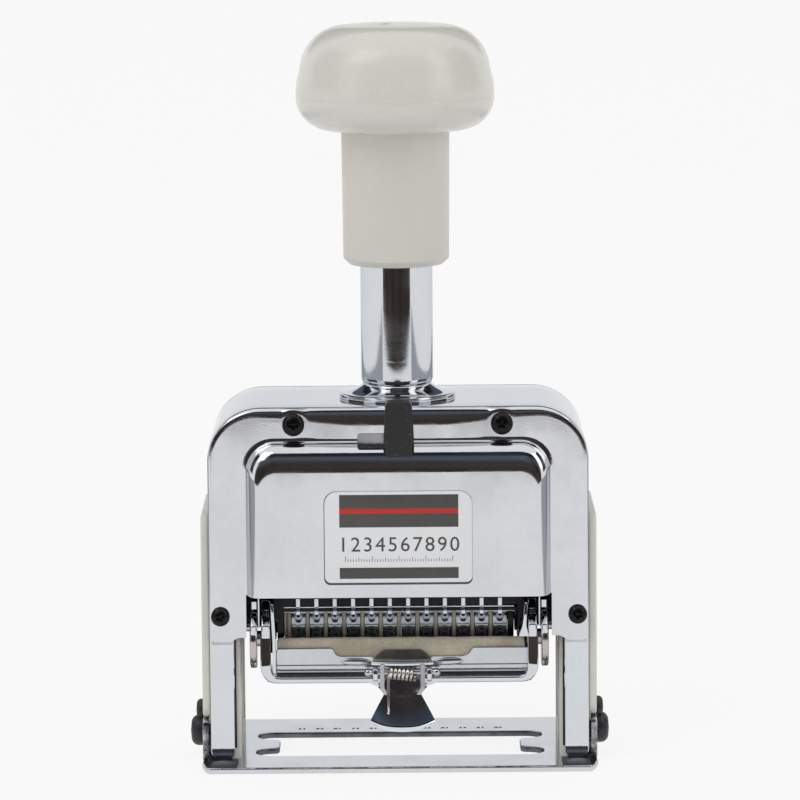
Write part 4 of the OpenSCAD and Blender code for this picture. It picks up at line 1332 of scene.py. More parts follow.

# Covers of moulding, channels, the plunger's frame and its works: the imported solids with softened edges

softened = [
    # node, piece, finish, body, slot, edge width, steps
    ("left_side_cover", "leftSideCover", "ivoryMoulding", "frame", "ivory_plastic", 0.45, 4),
    ("right_side_cover", "rightSideCover", "ivoryMoulding", "frame", "ivory_plastic", 0.45, 4),
    ("left_guide_channel", "leftGuideChannel", "ivoryMoulding", "frame", "ivory_plastic", 0.25, 2),
    ("right_guide_channel", "rightGuideChannel", "ivoryMoulding", "frame", "ivory_plastic", 0.25, 2),
    ("tube_lock_nut", "tubeLockNut", "blackOxide", "frame", "black_steel", 0.2, 2),
    ("selector_plate", "selectorPlate", "turnedSteel", "mode_selector", "bright_steel", 0.1, 2),
    ("knob_insert", "knobInsert", "turnedBrass", "plunger", "brass", 0.15, 2),
    ("plunger_rod", "plungerRod", "turnedSteel", "plunger", "bright_steel", 0.15, 2),
    ("wheel_frame", "wheelFrame", "blackOxide", "plunger", "black_steel", 0.12, 2),
    ("wheel_shaft", "wheelShaft", "turnedSteel", "plunger", "bright_steel", 0.1, 2),
    ("shaft_clips", "shaftClips", "smokedNickel", "plunger", "brass", 0.06, 2),
    ("detent_bars", "detentBars", "blackOxide", "plunger", "black_steel", 0.1, 2),
    ("pawl_carrier", "pawlCarrier", "turnedSteel", "pawl", "bright_steel", 0.06, 2),
    ("drive_pawl", "drivePawl", "turnedSteel", "pawl", "bright_steel", 0.08, 2),
]

lipSettings = {"solid": 28.9, "wall": 31.2, "right": 30.6, "left": 30.3}

# boxes cut from the wheel frame at both sides: its tongues end above the foot of the cover's legs, and are
# relieved where the bosses of the pad's bracket pass when it has swung
tongueCuts = [(24.6, 33.0, -12.0, 1.0, 18.0, 25.1), (22.95, 27.1, -12.0, -2.85, 37.6, 47.6)]


def narrowLips(thing, s):
    # a channel's inner lips stand only a little way past the frame's strips
    for v in thing.data.vertices:
        x = abs(v.co.x) / mm
        if x < s["wall"]:
            lip = s["right"] if v.co.x > 0 else s["left"]
            share = (s["wall"] - lip) / (s["wall"] - s["solid"])
            v.co.x = math.copysign((lip + (x - s["solid"]) * share) * mm, v.co.x)


for node, piece, look, body, slot, width, steps in softened:
    thing = bevelledCopy(node, piece, look, body, slot, width, steps)
    if "GuideChannel" in piece:
        narrowLips(thing, lipSettings)
    if piece == "wheelFrame":
        for side in (1, -1):
            for near, far, *rest in tongueCuts:
                x0, x1 = sorted((side * near, side * far))
                cutBy(thing, *roundedBox(x0, x1, *rest, 0.1, 1))
        evenNormals(thing)
print("body and works made")

# Figure wheels: a ring of ten blocks with a raised figure each, notched for the leaf spring

axleZ = 27.1
wheelSettings = {
    "pitch": 3.5, "width": 2.7, "root": 7.1, "foot": 8.3, "face": 8.75, "hub": 7.15, "bore": 2.06,
    "footStart": -22.5, "footEnd": 11.0, "padHalf": 9.4, "notchWidth": 1.2, "notchDepth": 1.35,
    "figureHeight": 2.45, "figureWidth": 2.15,
}


def slicedMesh(points, faces, axis, places):
    # extra cuts, so that a flat part can be bent
    work = bmesh.new()
    verts = [work.verts.new(p) for p in points]
    for face in faces:
        try:
            work.faces.new([verts[i] for i in face])
        except ValueError:
            continue
    normal = Vector([1.0 if k == axis else 0.0 for k in range(3)])
    for place in places:
        everything = work.verts[:] + work.edges[:] + work.faces[:]
        bmesh.ops.bisect_plane(work, geom=everything, plane_co=normal * place, plane_no=normal, dist=1e-5)
    return partOfWork(work)


def onRim(points, radius, angle):
    # x across the wheel, y up the front of the rim, z out from it; angle runs down the front from level
    result = []
    for x, y, z in points:
        a = math.radians(180 + angle) - y / radius
        result.append((x, (radius + z) * math.cos(a), (radius + z) * math.sin(a)))
    return result


def blockPart(s):
    foot, w = s["foot"], s["width"] / 2
    up = math.radians(-s["footStart"]) * foot
    down = -math.radians(s["footEnd"]) * foot
    n, r = s["notchDepth"], s["notchWidth"] / 2
    notch = [(r + 0.28, up), (r + 0.05, up - 0.16)]
    notch += arcPoints(0, up - n + r, r, 0, -180, 10) + [(-x, y) for x, y in reversed(notch)]
    outline = [(-w, down), (w, down), (w, up - 0.35), (w - 0.18, up)] + notch
    outline += [(-w + 0.18, up), (-w, up - 0.35)]
    points, faces = outlinePlate([outline], "xy", s["root"] - foot - 0.4, 0.0, 0.09, 2)
    points, faces = slicedMesh(points, faces, 1, [down + (up - down) * k / 7 for k in range(1, 7)])
    parts = [(onRim(points, foot, 0), faces)]
    half = math.radians(s["padHalf"]) * s["face"]
    h = s["face"] - foot
    points, faces = roundedBox(-w + 0.1, w - 0.1, -half, half, -0.3, h - 0.22, 0.07, 2)
    points, faces = slicedMesh(points, faces, 1, [half * k / 3 for k in (-2, -1, 0, 1, 2)])
    parts.append((onRim(points, foot, 0), faces))
    return parts


def figurePart(s, figure, k):
    points, faces = textPoints(str(figure), 1.0, 0.4)
    xs, ys = [p[0] for p in points], [p[1] for p in points]
    cx, cy = (min(xs) + max(xs)) / 2, (min(ys) + max(ys)) / 2
    wide = s["figureWidth"] / (max(xs) - min(xs)) if max(xs) - min(xs) > 0.4 else s["figureHeight"] * 1.2
    tall = s["figureHeight"] / (max(ys) - min(ys))
    h = s["face"] - s["foot"]
    flat = [(-(x - cx) * wide, (y - cy) * tall, h if z > 0 else h - 0.35) for x, y, z in points]
    flat, faces = slicedMesh(flat, faces, 1, [-0.6, 0.0, 0.6])
    return onRim(flat, s["foot"], k * 36 - 270), faces


def buildWheels(s):
    w = s["width"] / 2
    points, faces = [], []
    for part in blockPart(s):
        faces.extend(tuple(v + len(points) for v in face) for face in part[1])
        points.extend(part[0])
    block = patternPart("typeBlock", points, faces)
    spots = [((0, 0, 0), (36 * k, 0, 0)) for k in range(10)]
    ring = placeCopies("typeRing", block, spots, "typeSteel", "frame", "wheel_steel")
    made.remove(ring)
    turn = Matrix.Rotation(math.radians(18), 4, "X")
    points, faces = partOf(ring.data)
    parts = [([tuple(c / mm for c in turn @ Vector(p)) for p in points], faces, 0)]
    bpy.data.objects.remove(ring)
    half = [(s["bore"], w - 0.1), (s["hub"] - 0.15, w - 0.1), (s["hub"], w - 0.25)]
    hub = [(r, -x) for r, x in half] + half[::-1]
    points, faces = lathe(hub, 60)
    parts.append(([(z, x, y) for x, y, z in points], faces, 0))
    for k in range(10):
        points, faces = figurePart(s, k, k)
        parts.append((points, faces, 1))
    master = joinMeshes("figureWheel_master", parts, ["typeSteel", "inkedType"], "frame", "wheel_steel")
    made.remove(master)
    for i in range(12):
        mesh = master.data.copy()
        mesh.transform(Matrix.Translation(((i - 5.5) * s["pitch"] * mm, 0, axleZ * mm)))
        number = f"{i + 1:02d}"
        wheel = newObject("figureWheel_" + number, mesh)
        mesh.name = wheel.name
        wheel["body"], wheel["slot"] = "wheel_" + number, "wheel_steel"
        stand[wheel.name] = ["number_wheel_" + number]
        made.append(wheel)
    bpy.data.objects.remove(master)


buildWheels(wheelSettings)


def discs(places, radius, bore, edge, steps=72):
    # washers on the axle, places of (x0, x1)
    parts = []
    for x0, x1 in places:
        profile = [(bore, x0), (radius - edge, x0), (radius - edge * 0.3, x0 + edge * 0.3),
                   (radius, x0 + edge), (radius, x1 - edge), (radius - edge * 0.3, x1 - edge * 0.3),
                   (radius - edge, x1), (bore, x1)]
        points, faces = lathe(profile, steps)
        parts.append(([(z, x, y + axleZ) for x, y, z in points], faces))
    return parts


def frontHalf(radius):
    # half disc round the axle, cut away behind, where the pawl's yoke turns
    inner = arcPoints(0, axleZ, rowSettings["yokeRadius"], 265, 95, 16)
    return arcPoints(0, axleZ, radius, 95, 265, 30) + inner


rowSettings = {
    "halfSpacer": 0.38, "spacerRadius": 7.9, "yokeRadius": 3.9,
    "leftHub": [(-22.0, -21.55, 7.9), (-21.6, -21.3, 7.5), (-21.3, -20.64, 8.1)],   # x, x and radius
    "rightHub": (20.75, 21.9, 8.6),
    "endPlate": [(-9.7, 34.0), (-9.75, 24.6), (-9.2, 23.3), (-3.0, 22.6), (3.0, 24.0), (3.0, 34.0)],
    "endPlaces": [(-23.25, -22.12), (22.6, 23.25)],
    # bright strips under the two bars, painted highlight along their lower edges, as boxes with their edge
    "edgeHighlights": [
        (-22.0, 22.0, -9.66, -9.5, 29.44, 29.68, 0.04), (-22.0, 22.0, -9.6, -9.5, 28.62, 28.72, 0.02)],
}


def buildWheelRow(s):
    middles = [(i - 6) * wheelSettings["pitch"] for i in range(1, 12)]
    places = [(x - s["halfSpacer"], x + s["halfSpacer"]) for x in middles]
    parts = discs(places, s["spacerRadius"], wheelSettings["bore"], 0.08)
    parts += [outlinePlate([frontHalf(r)], "yz", x0, x1, 0.1, 2) for x0, x1, r in s["leftHub"]]
    joinMeshes("wheelSpacers", parts, "creamMoulding", "plunger", "cream_plastic", ["wheel_spacers"])
    parts = [outlinePlate([s["endPlate"]], "yz", x0, x1, 0.12, 2) for x0, x1 in s["endPlaces"]]
    x0, x1, r = s["rightHub"]
    parts.append(outlinePlate([frontHalf(r)], "yz", x0, x1, 0.12, 2))
    evenNormals(joinMeshes("wheelEndPlates", parts, "blackOxide", "plunger", "black_steel"))
    joinMeshes("barSeam", [roundedBox(*edgeHighlight, 1) for edgeHighlight in s["edgeHighlights"]], "leafSteel", "plunger",
               "black_steel")


buildWheelRow(rowSettings)


# Leaf springs: flat strips bent back to the notches, with round tips

leafSettings = {
    "width": 0.84, "thickness": 0.22,
    "path": [(-10.12, 31.3), (-10.12, 30.05), (-10.05, 29.85), (-9.72, 29.7), (-9.68, 29.55), (-9.98, 29.4),
             (-10.1, 29.2), (-10.12, 28.5), (-10.0, 28.2), (-9.7, 27.95), (-9.35, 27.75), (-9.0, 27.6)],
}


def buildLeaves(s):
    t = s["thickness"]
    path = s["path"]
    rows = []
    for i, (y, z) in enumerate(path):
        a, b = path[max(0, i - 1)], path[min(len(path) - 1, i + 1)]
        ty, tz = b[0] - a[0], b[1] - a[1]
        size = math.hypot(ty, tz)
        ny, nz = tz / size, -ty / size
        left = (len(path) - 1 - i) / 4
        w = s["width"] / 2 * (1.0 if left >= 1 else math.sqrt(max(0.0, 1 - (1 - left) ** 2)) * 0.75 + 0.25)
        e = 0.06
        ring = [(-w, 0.0), (-w + e, -t / 2), (w - e, -t / 2), (w, 0.0), (w - e, t / 2), (-w + e, t / 2)]
        rows.append([(x, y + ny * d, z + nz * d) for x, d in ring])
    leaf = patternPart("leafSpring", *skin(rows))
    spots = [(((i - 5.5) * wheelSettings["pitch"], 0, 0), (0, 0, 0)) for i in range(12)]
    placeCopies("leafSprings", leaf, spots, "leafSteel", "plunger", "spring_steel", ["detent_springs"])


buildLeaves(leafSettings)
print("wheels made")

# Pad carrier: bracket, pivots, tray, felt and latch. The tray sits a little to one side in its bracket.

pivotY, pivotZ = -11.6, 24.0
latchAxis = (-16.4, 18.2)    # y and z of the pin that the latch turns on
carrierShift = 0.55          # sideways play of the tray and its latch

bracketSettings = {
    # outer x, outer z, inner x, inner z, front y, rear y, edge radius
    "stations": [
        (0.0, 15.86, 0.0, 17.12, -15.32, -13.9, 0.42), (-12.0, 15.86, -12.0, 17.12, -15.32, -13.9, 0.42),
        (-22.6, 15.88, -22.6, 17.14, -15.32, -13.9, 0.42),
        (-24.0, 15.95, -23.4, 17.22, -15.36, -13.6, 0.45), (-25.0, 16.38, -23.85, 17.5, -15.5, -12.6, 0.4),
        (-25.75, 17.2, -24.15, 18.0, -15.72, -11.0, 0.36),
        (-26.25, 18.35, -24.32, 18.75, -15.95, -9.6, 0.3), (-26.4, 19.6, -24.36, 19.8, -15.98, -8.6, 0.26),
        (-26.4, 22.4, -24.36, 22.4, -15.5, -7.6, 0.24), (-26.4, 25.2, -24.36, 25.2, -15.02, -7.2, 0.24)],
    "boss": (-26.2, -24.4), "front": -16.25, "foot": 18.6, "rear": -8.0, "tail": 31.6,
    # upper part of the boss, with y counted from its front
    "nose": [(0.1, 24.85), (0, 25.0), (0, 27.1), (0.12, 27.35), (0.95, 28.4), (2.0, 29.35), (3.0, 29.9),
             (3.4, 31.6)],
    "linkEdge": (-26.85, -26.45), "link": [(-14.6, 26.5), (-13.2, 26.5), (-13.0, 32.2), (-14.4, 32.2)],
    "leftCheek": (-24.05, -23.4), "leftLean": 0.32,
    "leftOutline": [
        (-14.6, 17.2), (-16.2, 17.7), (-16.75, 18.8), (-16.9, 24.3), (-16.9, 30.6), (-16.4, 31.6),
        (-11.0, 31.6), (-10.3, 27.1), (-7.3, 25.3), (-7.0, 20.0)],
    "rightCheek": (23.4, 24.1), "rightCuts": [25.4, 25.8, 26.3, 26.9, 27.6],
    "rightOutline": [
        (-14.6, 25.15), (-16.9, 25.05), (-16.9, 30.6), (-16.4, 31.6), (-11.0, 31.6), (-10.3, 27.1),
        (-7.3, 25.15)],
    "ledges": [(22.4, 25.3, -6.4, 5.0, 14.95, 15.27, 0.1), (24.72, 25.3, -9.0, 5.0, 14.95, 20.5, 0.1)],
    "lugs": [(4.65, 5.58), (-5.58, -4.65)],
    "lugFoot": [(-15.0, 17.6), (-14.8, 16.3), (-16.6, 16.3), (-17.1, 16.8), (-17.35, 17.6)],
    "bump": [(3.5, 16.4), (3.5, 15.2), (4.5, 15.25), (5.4, 15.5), (6.5, 15.95), (6.7, 16.4)],
}


def bossOutline(s):
    # flat nose standing over the arm below it, then a steep shoulder up to the link
    outline = [(s["front"] + y, z) for y, z in s["nose"]] + [(pivotY + 1.2, s["tail"])]
    outline += arcPoints(pivotY, pivotZ, 4.6, 70, 0, 10)
    return outline + [(s["rear"], s["foot"]), (-14.2, s["foot"]), (-14.6, 24.85)]


def leftCheek(s):
    # thin cheek inside the arm, running down beside the tray
    points, faces = outlinePlate([s["leftOutline"]], "yz", *s["leftCheek"], 0.14, 2)
    return [(x - s["leftLean"] * smoothstep(25.0, 31.5, z), y, z) for x, y, z in points], faces


def rightCheek(s):
    # ends above the tray, where it flares
    x0, x1 = s["rightCheek"]
    points, faces = outlinePlate([s["rightOutline"]], "yz", x0, x1, 0.14, 2)
    points, faces = slicedMesh(points, faces, 2, s["rightCuts"])
    flared = []
    for x, y, z in points:
        reach = 1 if x < x0 + 0.4 else -0.6
        flare = 0.75 * (1 - smoothstep(25.0, 27.6, z)) * reach
        flared.append((x - flare + 0.3 * smoothstep(27, 31.5, z), y, z))
    return flared, faces


def buildBracket(s):
    rings = []
    for ox, oz, ix, iz, y0, y1, r in s["stations"]:
        length = math.hypot(ox - ix, oz - iz)
        ring = roundRing(0, length, y0, y1, r)
        rings.append([(ox + (ix - ox) * t / length, y, oz + (iz - oz) * t / length) for t, y in ring])
    work = bothSides(skin(rings))
    work += bothSides(outlinePlate([bossOutline(s)], "yz", *s["boss"], 0.35, 3))
    work += bothSides(outlinePlate([s["link"]], "yz", *s["linkEdge"], 0.1, 1))
    work += [leftCheek(s), rightCheek(s)]
    # ledges under the tray's ends
    ledges = [roundedBox(*ledge, 1) for ledge in s["ledges"]]
    work += ledges + [mirrored(ledge) for ledge in ledges]
    # lugs for the latch's pin, and the bar's bumps below them
    lug = arcPoints(*latchAxis, 1.0, 150, 20, 8) + s["lugFoot"]
    held = [outlinePlate([lug], "yz", x0, x1, 0.16, 2) for x0, x1 in s["lugs"]]
    for side in (1, -1):
        bump = [(x * side, z) for x, z in s["bump"]][::side]
        held.append(outlinePlate([bump], "xz", -15.28, -14.2, 0.14, 2))
    work += movedX(held, carrierShift)
    evenNormals(joinMeshes("padBracket", work, "polishedChrome", "pad_carrier", "chrome", ["pad_bracket"]))


def axleLathe(profile, y, z, steps=64):
    # profile of (radius, x) turned about an axle along X
    points, faces = lathe(profile, steps)
    return [(h, y + a, z + b) for a, b, h in points], faces


# profiles of pin, tail and disc as (radius, x)
pivotSettings = {
    "pin": [(0, 24.32), (1.4, 24.32), (1.5, 24.42), (1.5, 28.2), (0, 28.2)],
    "tail": [(0, 28.0), (0.9, 28.0), (0.9, 33.0), (0, 33.0)], "tailRise": 2.3,
    "disc": [(1.5, 27.02), (5.3, 27.02), (5.5, 27.08), (5.6, 27.25), (5.6, 28.1), (5.5, 28.27),
             (5.3, 28.34), (1.5, 28.34)],
    "cap": [
        (-15.0, 24.85), (-16.85, 24.85), (-16.95, 25.0), (-16.95, 27.2), (-16.8, 27.45), (-15.9, 28.5),
        (-14.7, 29.4), (-13.4, 30.0), (-13.4, 31.4), (-12.2, 31.4), (-12.2, 29.0)],
    "capPlace": (26.92, 28.2),
}


def buildPivots(s):
    pin = axleLathe(s["pin"], pivotY, pivotZ, 32)
    tail = axleLathe(s["tail"], pivotY, pivotZ + s["tailRise"], 32)
    disc = axleLathe(s["disc"], pivotY, pivotZ, 96)
    cap = outlinePlate([s["cap"]], "yz", *s["capPlace"], 0.28, 3)
    parts = [(*half, 0) for part in (pin, tail, disc) for half in bothSides(part)]
    parts += [(*half, 1) for half in bothSides(cap)]
    looks = ["agedNickel", "polishedChrome"]
    evenNormals(joinMeshes("carrierPivots", parts, looks, "frame", "bright_steel", ["carrier_pivots"]))


traySettings = {
    "x": (-23.95, 23.95), "lipY": -13.0, "thickness": 0.55, "lipTop": 22.3, "crease": 19.1, "rear": 6.2,
    "floor": 15.3, "rim": 17.8, "middle": (-3.4, 17.0),
    "notch": [
        (-13.75, 22.3), (-13.4, 22.22), (-13.1, 21.95), (-12.75, 21.2), (-12.3, 20.85), (-11.5, 20.68),
        (11.2, 20.62), (12.2, 20.85), (12.8, 21.25), (13.25, 21.95), (13.55, 22.22), (13.9, 22.3)],
    "under": [
        (-13.0, 19.15), (-13.04, 18.9), (-13.04, 18.4), (-12.98, 18.0), (-12.8, 17.6), (-12.5, 17.2),
        (-12.0, 16.7), (-11.3, 15.95), (-10.9, 15.6), (-10.4, 15.3)],
    # rear wall, with y counted from its face, z from the floor or the rim
    "wallFoot": [(-0.3, 0), (-0.08, 0.08), (0, 0.3)],
    "wallTop": [(0, -0.1), (-0.1, 0), (-0.45, 0), (-0.55, -0.1)],
    "bossX": 8.8, "bossZ": 19.6, "bossSize": (2.9, 0.5, 0.8), "bossLean": 0.08,
    "shadeBelow": 17.7, "shadeBefore": -9.0,
}


def trayRim(s):
    (x0, x1), top = s["x"], s["lipTop"]
    rim = [(x0, s["crease"] - 0.2), (x1, s["crease"] - 0.2)] + arcPoints(x1 - 0.6, top - 0.6, 0.6, 0, 90, 6)
    return rim + s["notch"][::-1] + arcPoints(x0 + 0.6, top - 0.6, 0.6, 90, 180, 6)


def trayTrough(s):
    # section of the sheet, swept along X and drawn in a little at both ends
    (x0, x1), t, rear = s["x"], s["thickness"], s["rear"]
    profile = s["under"] + [(rear + y, s["floor"] + z) for y, z in s["wallFoot"]]
    profile += [(rear + y, s["rim"] + z) for y, z in s["wallTop"]] + [(rear - t, s["floor"] + t)]
    profile += [(y + t * 0.9, z + t * 0.55) for y, z in reversed(s["under"])]
    cy, cz = s["middle"]
    rings = []
    ends = [(x0, 0.12), (x0 + 0.03, 0.04), (x0 + 0.12, 0.0)]
    ends += [(x1 - 0.12, 0.0), (x1 - 0.03, 0.04), (x1, 0.12)]
    for x, edge in ends:
        ring = []
        for y, z in profile:
            inY = math.copysign(min(edge, abs(y - cy)), y - cy)
            inZ = math.copysign(min(edge, 0.5 * abs(z - cz)), z - cz)
            ring.append((x, y - inY, z - inZ))
        rings.append(ring)
    return skin(rings)


def trayBoss(s, cx):
    # pressed boss beside the latch
    wide, deep, high = s["bossSize"]
    lean = math.copysign(s["bossLean"], cx)
    work = bmesh.new()
    bmesh.ops.create_uvsphere(work, u_segments=40, v_segments=20, radius=1.0)
    for v in work.verts:
        x, y, z = v.co
        v.co = (cx + x * wide, s["lipY"] + 0.06 + y * deep, s["bossZ"] + z * high + lean * x)
    return partOfWork(work)


def buildTray(s):
    (x0, x1), y, t, rear = s["x"], s["lipY"], s["thickness"], s["rear"]
    parts = [outlinePlate([trayRim(s)], "xz", y, y + t, 0.13, 3), trayTrough(s)]
    side = [(y + 0.05, s["rim"]), (y + 0.05, 18.2), (-12.3, 17.1), (-10.6, s["floor"])]
    side += [(rear - 0.3, s["floor"]), (rear - 0.05, s["rim"])]
    parts += [outlinePlate([side], "yz", a, b, 0.1, 2) for a, b in ((x0, x0 + t), (x1 - t, x1))]
    parts += [trayBoss(s, -s["bossX"]), trayBoss(s, s["bossX"])]
    looks = ["trayNickel", "shadedNickel"]
    tray = joinMeshes("padTray", movedX(parts, carrierShift), looks, "pad_carrier", "nickel", ["pad_tray"])
    evenNormals(tray)
    for face in tray.data.polygons:   # the wall is painted dark where it turns under, as the dark reflection of the bracket's bar
        if face.center.z < s["shadeBelow"] * mm and face.center.y < s["shadeBefore"] * mm:
            face.material_index = 1


padSettings = {
    "x": (-23.83, 23.35), "ends": [0.0, 0.05, 0.16, 0.34, 0.6], "margin": 0.9, "across": 110,
    "stitch": 0.35,
    "section": [
        (-12.42, 17.9), (-12.42, 20.0), (-12.4, 23.2), (-12.3, 23.75), (-12.05, 24.05), (-11.75, 24.12),
        (-11.4, 24.0), (-11.15, 23.7), (-11.02, 23.2), (-10.95, 21.0), (-10.9, 19.2), (-10.7, 18.6),
        (-10.2, 18.25), (-9.0, 18.14), (-6.0, 18.2), (-2.5, 18.26), (1.0, 18.2), (3.6, 18.1), (4.9, 17.95),
        (5.4, 17.6), (5.55, 17.0), (5.55, 15.95), (-10.3, 15.95), (-12.3, 17.6)],
    "swell": 0.07, "endRound": 0.7,
}


def padRing(s, x, section):
    x0, x1 = s["x"]
    r = s["endRound"]
    edge = min(x - x0, x1 - x, r)
    pull = r - math.sqrt(max(0.0, r ** 2 - (r - edge) ** 2))
    ring = []
    for y, z in section:
        wave = noise.noise(Vector((x * 0.45, y * 0.8, z * 0.8))) * 0.75
        wave += noise.noise(Vector((x * 1.7, y * 2.0, z * 2.0))) * 0.35
        top = smoothstep(22.4, 24.0, z)
        away = math.copysign(pull * 0.5, -11.7 - y) * top
        out = wave * s["swell"] if y > -12.4 else 0.0
        up = wave * s["swell"] * 1.2 * smoothstep(17.7, 18.3, z)
        ring.append((x, y + away + out, z - pull * top + up))
    return ring


def buildPad(s):
    # felt folded up behind the tray's lip; thicker in the middle and soft at its ends, with an uneven face
    x0, x1 = s["x"]
    section = []
    for (ya, za), (yb, zb) in zip(s["section"], s["section"][1:] + s["section"][:1]):
        count = max(1, int(math.hypot(yb - ya, zb - za) / s["stitch"]))
        section += [(ya + (yb - ya) * k / count, za + (zb - za) * k / count) for k in range(count)]
    first, n = x0 + s["margin"], s["across"]
    places = [x0 + e for e in s["ends"]]
    places += [first + (x1 - x0 - 2 * s["margin"]) * k / n for k in range(n + 1)]
    places += [x1 - e for e in reversed(s["ends"])]
    points, faces = skin([padRing(s, x, section) for x in places])
    points = [(x + carrierShift, y, z) for x, y, z in points]
    meshPiece("inkPad", points, faces, "creamFelt", "pad_carrier", "felt", ["ink_pad"], sharp=None)


buildBracket(bracketSettings)
buildPivots(pivotSettings)
buildTray(traySettings)
buildPad(padSettings)

latchSettings = {
    "lip": [
        (-5.5, 19.95), (5.5, 19.95), (5.45, 20.4), (5.1, 20.9), (3.95, 21.8), (3.4, 22.0), (-3.4, 22.0),
        (-3.95, 21.8), (-5.1, 20.9), (-5.45, 20.4)],
    "lipPlace": (-14.0, -13.45), "lipLean": 0.2,
    # the web and the fold over it have a bowed front: half width, y at its ends, bow
    "web": (19.62, 20.3), "webFront": (5.85, -16.7, 0.92),
    "webRear": [(5.7, -15.2), (5.2, -13.6), (-5.2, -13.6), (-5.7, -15.2)],
    "fold": (20.2, 20.52), "foldFront": (5.3, -16.2, 0.35), "foldRear": [(5.2, -13.9), (-5.2, -13.9)],
    "ear": (3.4, 4.28), "earCuts": [14.3, 14.7, 15.1, 15.6],
    "earOutline": [
        (-17.5, 14.05), (-17.62, 15.2), (-17.5, 19.9), (-15.6, 19.9), (-15.5, 18.0), (-16.4, 15.2),
        (-16.95, 14.05)],
    # tab: neck and shoulders as half width, z, sag of the middle and y; then a fan with a rolled foot
    "neckRows": [
        (3.3, 16.9, 0, -16.95), (3.4, 16.2, 0, -17.04), (4.65, 15.5, 0, -17.12), (4.55, 15.3, 0, -17.15),
        (4.0, 14.7, 0, -17.22), (3.61, 14.25, 0, -17.28), (3.55, 14.05, 0.02, -17.31)],
    "corner": (6.12, 9.36), "faceSag": 1.36, "rimSag": 2.06, "arch": 2.6, "bow": 0.18, "reach": 0.74,
    "fanRows": 14, "rimRows": 7, "columns": 32, "thickness": 0.42,
}


def bowedFront(half, y, bow, steps=24):
    across = [2 * k / steps - 1 for k in range(steps + 1)]
    return [(half * c, y - bow * (1 - c ** 2)) for c in across]


def tabRows(s):
    columns = [2 * k / s["columns"] - 1 for k in range(s["columns"] + 1)]

    def row(w, z, sag, y):
        return [(c * w, y + s["bow"] * c * c, z - sag * (1 - abs(c) ** s["arch"])) for c in columns]

    rows = [row(*numbers) for numbers in s["neckRows"]]
    neck, neckZ, _, neckY = s["neckRows"][-1]
    cornerX, cornerZ = s["corner"]
    for k in range(1, s["fanRows"] + 1):
        t = k / s["fanRows"]
        w, z = neck + (cornerX - neck) * t, neckZ + (cornerZ - neckZ) * t
        y = neckY - 0.42 * t - 0.90 * t * t
        rows.append(row(w, z, s["faceSag"] * t ** 1.6, y))
    for k in range(1, s["rimRows"] + 1):
        t = k / s["rimRows"]
        sag = s["faceSag"] + (s["rimSag"] - s["faceSag"]) * t
        rim = row(cornerX + 0.05 * t, cornerZ - 0.05 * t, sag, y)
        forward = s["reach"] * t * (1 - 0.18 * (1 - t))
        rows.append([(p[0], p[1] - forward * (1 - c * c) ** 0.7, p[2]) for c, p in zip(columns, rim)])
    return rows


def latchTab(s):
    # the rows as a sheet with a back
    rows = tabRows(s)
    n, last = len(rows[0]), len(rows) - 1
    points = [p for row in rows for p in row]
    back = [(x, y + s["thickness"], z - 0.05) for x, y, z in points]
    start = len(points)
    faces = gridFaces(len(rows), n)
    faces += [tuple(v + start for v in reversed(f)) for f in faces]
    edge = list(range(n)) + [i * n + n - 1 for i in range(1, last + 1)]
    edge += [last * n + k for k in range(n - 2, -1, -1)] + [i * n for i in range(last - 1, 0, -1)]
    for a, b in zip(edge, edge[1:] + edge[:1]):
        faces.append((a, b, b + start, a + start))
    return points + back, faces


def buildLatch(s):
    lip, lipFaces = outlinePlate([s["lip"]], "xz", *s["lipPlace"], 0.13, 2)
    parts = [([(x, y + s["lipLean"] * (z - 20.0), z) for x, y, z in lip], lipFaces, 1)]
    web = bowedFront(*s["webFront"]) + s["webRear"]
    parts.append((*outlinePlate([web], "xy", *s["web"], 0.2, 3), 0))
    # its shallow upper fold
    fold = bowedFront(*s["foldFront"]) + s["foldRear"]
    parts.append((*outlinePlate([fold], "xy", *s["fold"], 0.14, 2), 0))
    for side in (1, -1):
        a, b = sorted(x * side for x in s["ear"])
        ear = outlinePlate([s["earOutline"]], "yz", a, b, 0.12, 2)
        points, faces = slicedMesh(*ear, 2, s["earCuts"])
        bent = [(x - side * 0.75 * (1 - smoothstep(13.9, 15.6, z)), y, z) for x, y, z in points]
        parts.append((bent, faces, 2))
    parts.append((*latchTab(s), 0))
    looks = ["polishedChrome", "smokedNickel", "brushedEdge", "tabNickel"]
    latch = joinMeshes("padLatch", movedX(parts, carrierShift), looks, "latch", "nickel", ["pad_latch"])
    # the tab's front faces get a darker, bluish copy of the chrome: painted shade and painted blue reflection
    for face in latch.data.polygons:
        onTab = face.center.z < s["neckRows"][0][1] * mm and face.material_index == 0
        if onTab and face.normal.y < -0.9 and face.normal.z < 0.4:
            face.material_index = 3


def tube(path, radius, sides=12, taper=()):
    # round wire along a path, with closed ends
    angles = [2 * math.pi * k / sides for k in range(sides)]
    rings = []
    up = Vector((0, 1, 0))
    for i, p in enumerate(path):
        a, b = Vector(path[max(0, i - 1)]), Vector(path[min(len(path) - 1, i + 1)])
        along = (b - a).normalized()
        side = along.cross(up)
        if side.length < 0.1:
            side = along.cross(Vector((1, 0, 0)))
        side.normalize()
        up = side.cross(along).normalized()
        r = radius * (taper[i] if i < len(taper) else 1.0)
        rings.append([tuple(Vector(p) + side * r * math.cos(a) + up * r * math.sin(a)) for a in angles])
    return skin(rings)


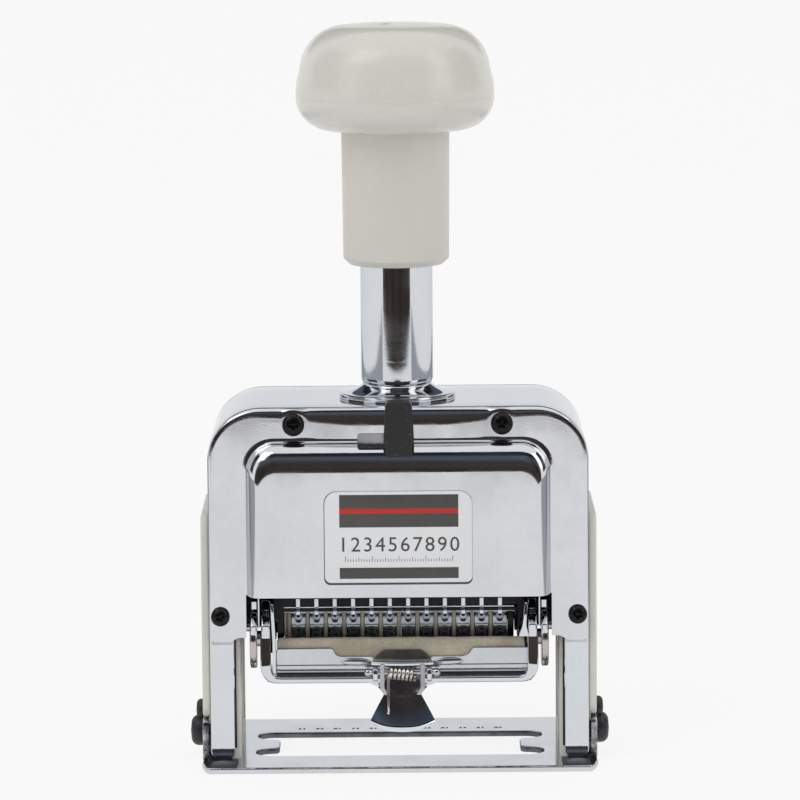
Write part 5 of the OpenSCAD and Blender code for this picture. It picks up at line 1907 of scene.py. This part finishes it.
latchSpringSettings = {
    "coilR": 1.02, "turns": 6.2, "x": (-2.35, 2.4), "wire": 0.33, "perTurn": 28, "start": 200, "drop": 0.5,
    "leg": [
        (-2.75, -18.35, 10.65), (-2.62, -18.5, 11.2), (-2.7, -18.55, 11.8), (-2.7, -18.35, 12.6),
        (-2.72, -18.1, 14.5), (-2.72, -17.85, 16.4), (-2.66, -17.62, 17.4), (-2.5, -17.45, 17.9)],
    "legTaper": [0.8, 0.65, 0.6, 0.6, 0.6, 0.6, 0.7, 0.85],
    "end": [(2.5, -16.0, 16.6), (2.62, -15.5, 16.9), (2.7, -15.0, 17.2)],
}


def buildLatchSpring(s):
    (y, z), r = latchAxis, s["coilR"]
    x0, x1 = s["x"]
    steps = int(s["turns"] * s["perTurn"])
    coil = []
    for i in range(steps + 1):
        t = i / steps
        a = math.radians(s["start"] + 360 * s["turns"] * (1 - t))
        coil.append((x0 + (x1 - x0) * t, y + r * math.cos(a), z + r * math.sin(a) - s["drop"] * t))
    # the wire's bright and dark spots are painted highlights and reflections
    wire = tube(s["leg"] + coil + s["end"], s["wire"], 14, s["legTaper"])
    joinMeshes("latchSpring", movedX([wire], carrierShift), "bronzeWire", "latch", "spring_steel",
               ["latch_spring"])


latchPinSettings = {"radius": 0.56, "shoulder": 5.85, "ball": 0.8, "ballX": 6.5}


def buildLatchPin(s):
    # ball-ended at both sides
    ball = []
    for angle in range(48, 181, 12):
        a = math.radians(angle)
        ball.append((max(s["ball"] * math.sin(a), 0.0), s["ballX"] - s["ball"] * math.cos(a)))
    right = [(s["radius"], s["shoulder"])] + ball
    profile = [(r, -x) for r, x in reversed(right)] + right
    part = axleLathe(profile, *latchAxis, 32)
    joinMeshes("latchPin", movedX([part], carrierShift), "springWire", "pad_carrier", "bright_steel",
               ["latch_pin"])


buildLatch(latchSettings)
buildLatchSpring(latchSpringSettings)
buildLatchPin(latchPinSettings)
print("pad carrier made")

# Return spring inside the guide tube: its foot stays and the knob presses its top down

returnSettings = {
    "coilR": 4.9, "wire": 0.5, "turns": 13, "perTurn": 28, "foot": 73.2, "top": 126.9, "seat": 72.7,
    "stroke": 18.35,
}


def buildReturnSpring(s):
    steps = s["turns"] * s["perTurn"]
    path = []
    for i in range(steps + 1):
        a = math.radians(360 * s["turns"] * i / steps)
        z = s["foot"] + (s["top"] - s["foot"]) * i / steps
        path.append((s["coilR"] * math.cos(a), s["coilR"] * math.sin(a), z))
    joinMeshes("returnSpring", [tube(path, s["wire"], 12)], "springWire", "frame", "spring_steel",
               ["return_spring"])


buildReturnSpring(returnSettings)
print("return spring made")

# Every piece goes with its body, and stands for its nodes

for pattern in patterns:
    bpy.data.objects.remove(pattern)
for piece in made:
    body, slot = piece["body"], piece["slot"]
    del piece["body"], piece["slot"]
    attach(piece, body)
    if piece.name in stand:
        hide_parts(*stand[piece.name])
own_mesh(bpy.data.objects["returnSpring"])
print("pieces dressed,", len(made))
